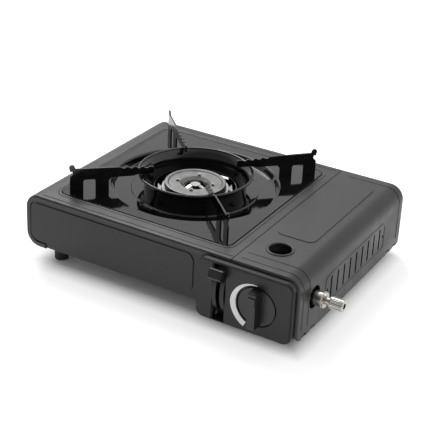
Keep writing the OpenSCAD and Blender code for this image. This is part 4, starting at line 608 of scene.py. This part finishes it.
class STOVE_OT_controls(bpy.types.Operator):
    """Control panel, knob with its line, track's back edge and lever grip"""
    bl_idname = "stove.controls"
    bl_label = "Controls"

    def execute(self, context):
        settings = context.scene.stove_controls
        rounded_copy("control_panel", "control_panel_moulded", "case", "panel_plastic",
                     width_mm=0.5, degrees=24.0, smooth_below=68.0)
        self.make_knob(settings)
        self.make_line(settings)
        self.make_track_back(settings)
        rounded_copy("lever_grip", "lever_grip_moulded", "lock_lever", "knob_plastic",
                     width_mm=0.5, segments=3)
        return {"FINISHED"}

    def make_knob(self, settings):
        """The knob, with its skirt drawn in so that the dark groove of the well shows round it."""
        knob = copy_node("knob")
        axis = spot(*KNOB)
        face = axis.y + settings.bar_face * MM
        if self.pick(knob, lambda p: math.hypot(p.x - axis.x, p.z - axis.z)
                     > settings.skirt_from * MM):
            bpy.ops.transform.resize(value=(settings.skirt_share, 1.0, settings.skirt_share),
                                     center_override=axis)
        if self.pick(knob, lambda p: abs(p.x - axis.x) < settings.pad_half * MM
                     and p.y < face + settings.pad_depth * MM
                     and settings.pad_low * MM < p.z - axis.z < settings.pad_high * MM):
            bpy.ops.transform.resize(value=(settings.pad_wide, 1.0, settings.pad_tall),
                                     center_override=axis)
        if self.pick(knob, lambda p: abs(p.y - face) < settings.bar_slack * MM):
            bpy.ops.transform.translate(value=(0.0, settings.bar_sink * MM, 0.0))
        bpy.ops.object.mode_set(mode="OBJECT")
        add_bevel(knob, settings.knob_round, degrees=30.0)
        smooth(knob)
        settle(knob, "knob_moulded", "gas_knob", "knob_plastic", ["knob"])

    def pick(self, piece, wanted):
        """Selects the points that the rule wants, stays in edit mode and gives their number."""
        choose(piece)
        bpy.ops.object.mode_set(mode="EDIT")
        bpy.ops.mesh.select_mode(type="VERT")
        bpy.ops.mesh.select_all(action="DESELECT")
        bpy.ops.object.mode_set(mode="OBJECT")
        found = 0
        for vertex in piece.data.vertices:
            vertex.select = wanted(piece.matrix_world @ vertex.co)
            found += vertex.select
        bpy.ops.object.mode_set(mode="EDIT")
        return found

    def make_line(self, settings):
        """Fine raised line on the skirt beside the bar: an arc cut from a wide ring."""
        clear_selection()
        wide = settings.line_bow * MM
        place = (spot(KNOB.x, settings.skirt_y, KNOB.z)
                 + Vector((settings.line_out * MM - wide, 0.0, 0.0)))
        bpy.ops.mesh.primitive_torus_add(location=place, rotation=(math.radians(90.0), 0.0, 0.0),
                                         major_segments=144, minor_segments=10,
                                         major_radius=wide, minor_radius=settings.line_r * MM)
        line = bpy.context.object
        choose(line)
        bpy.ops.object.mode_set(mode="EDIT")
        bpy.ops.mesh.select_all(action="SELECT")
        cut = Vector((wide * math.cos(math.radians(settings.line_turn)), 0.0, 0.0))
        bpy.ops.mesh.bisect(plane_co=place + cut, plane_no=(1.0, 0.0, 0.0),
                            use_fill=True, clear_inner=True)
        bpy.ops.object.mode_set(mode="OBJECT")
        smooth(line, degrees=50.0)
        settle(line, "knob_line", "gas_knob", "knob_plastic")

    def make_track_back(self, settings):
        """Turned-up back edge that closes the lower end of the lever track."""
        clear_selection()
        low, high = (spot(*corner) for corner in (settings.back_low, settings.back_high))
        bpy.ops.mesh.primitive_cube_add(size=1.0, location=(low + high) / 2.0)
        back = bpy.context.object
        back.scale = high - low
        bpy.ops.object.transform_apply(location=False, rotation=False, scale=True)
        add_bevel(back, settings.back_round, degrees=30.0)
        smooth(back)
        settle(back, "track_back", "case", "panel_plastic")


class LidSettings(bpy.types.PropertyGroup):
    """The raised rim round the lid's sight hole, in millimetres."""
    rim_place: FloatVectorProperty(
        name="Place", default=(292.5, 46.5, 85.0), size=3,
        description="Middle of the sight hole in the stove's millimetres")
    rim_r: FloatProperty(
        name="Rim radius", default=13.4, description="From the middle of the hole to the crest")
    rim_thick: FloatProperty(
        name="Rim roundness", default=1.5, description="Radius of the rim's round crest")
    rim_tall: FloatProperty(
        name="Rim height share", default=0.8, description="Flattening of the crest")


class STOVE_OT_lid(bpy.types.Operator):
    """Pressed rim round the sight hole of the lid"""
    bl_idname = "stove.lid"
    bl_label = "Lid rim"

    def execute(self, context):
        settings = context.scene.stove_lid
        place = spot(*settings.rim_place)
        clear_selection()
        bpy.ops.mesh.primitive_torus_add(location=place, major_segments=72, minor_segments=16,
                                         major_radius=settings.rim_r * MM,
                                         minor_radius=settings.rim_thick * MM)
        rim = bpy.context.object
        bpy.ops.object.mode_set(mode="EDIT")
        bpy.ops.mesh.select_all(action="SELECT")
        bpy.ops.transform.resize(value=(1.0, 1.0, settings.rim_tall), center_override=place)
        bpy.ops.mesh.bisect(plane_co=place, plane_no=(0.0, 0.0, 1.0), clear_inner=True)
        bpy.ops.object.mode_set(mode="OBJECT")
        smooth(rim, degrees=60.0)
        settle(rim, "sight_hole_rim", "cassette_lid", "body_coat")
        return {"FINISHED"}


class STOVE_PT_panel(bpy.types.Panel):
    """The stove's stage and pieces"""
    bl_label = "Portable gas stove"
    bl_idname = "STOVE_PT_panel"
    bl_space_type = "VIEW_3D"
    bl_region_type = "UI"
    bl_category = "Stove"

    def draw(self, context):
        for name in ("azimuth", "elevation", "roll", "distance", "world_strength", "key_power"):
            self.layout.prop(context.scene.stove_stage, name)
        for operator in STEPS:
            self.layout.operator(operator.bl_idname)


STEPS = (STOVE_OT_stage, STOVE_OT_finishes, STOVE_OT_burner, STOVE_OT_pan, STOVE_OT_controls,
         STOVE_OT_lid)
GROUPS = {"stove_stage": StageSettings, "stove_controls": ControlSettings,
          "stove_lid": LidSettings}


def register():
    """Registers the settings, the operators and the panel."""
    for entry in (*GROUPS.values(), *STEPS, STOVE_PT_panel):
        bpy.utils.register_class(entry)
    for name, group in GROUPS.items():
        setattr(bpy.types.Scene, name, PointerProperty(type=group))


def unregister():
    """Takes back what register did."""
    for name in GROUPS:
        delattr(bpy.types.Scene, name)
    for entry in (STOVE_PT_panel, *reversed(STEPS), *GROUPS.values()):
        bpy.utils.unregister_class(entry)


def main():
    """Builds the stage and every piece in order."""
    register()
    bpy.ops.stove.stage()
    bpy.ops.stove.finishes()
    bpy.ops.stove.burner()
    bpy.ops.stove.pan()
    bpy.ops.stove.controls()
    bpy.ops.stove.lid()


if __name__ == "__main__":
    main()
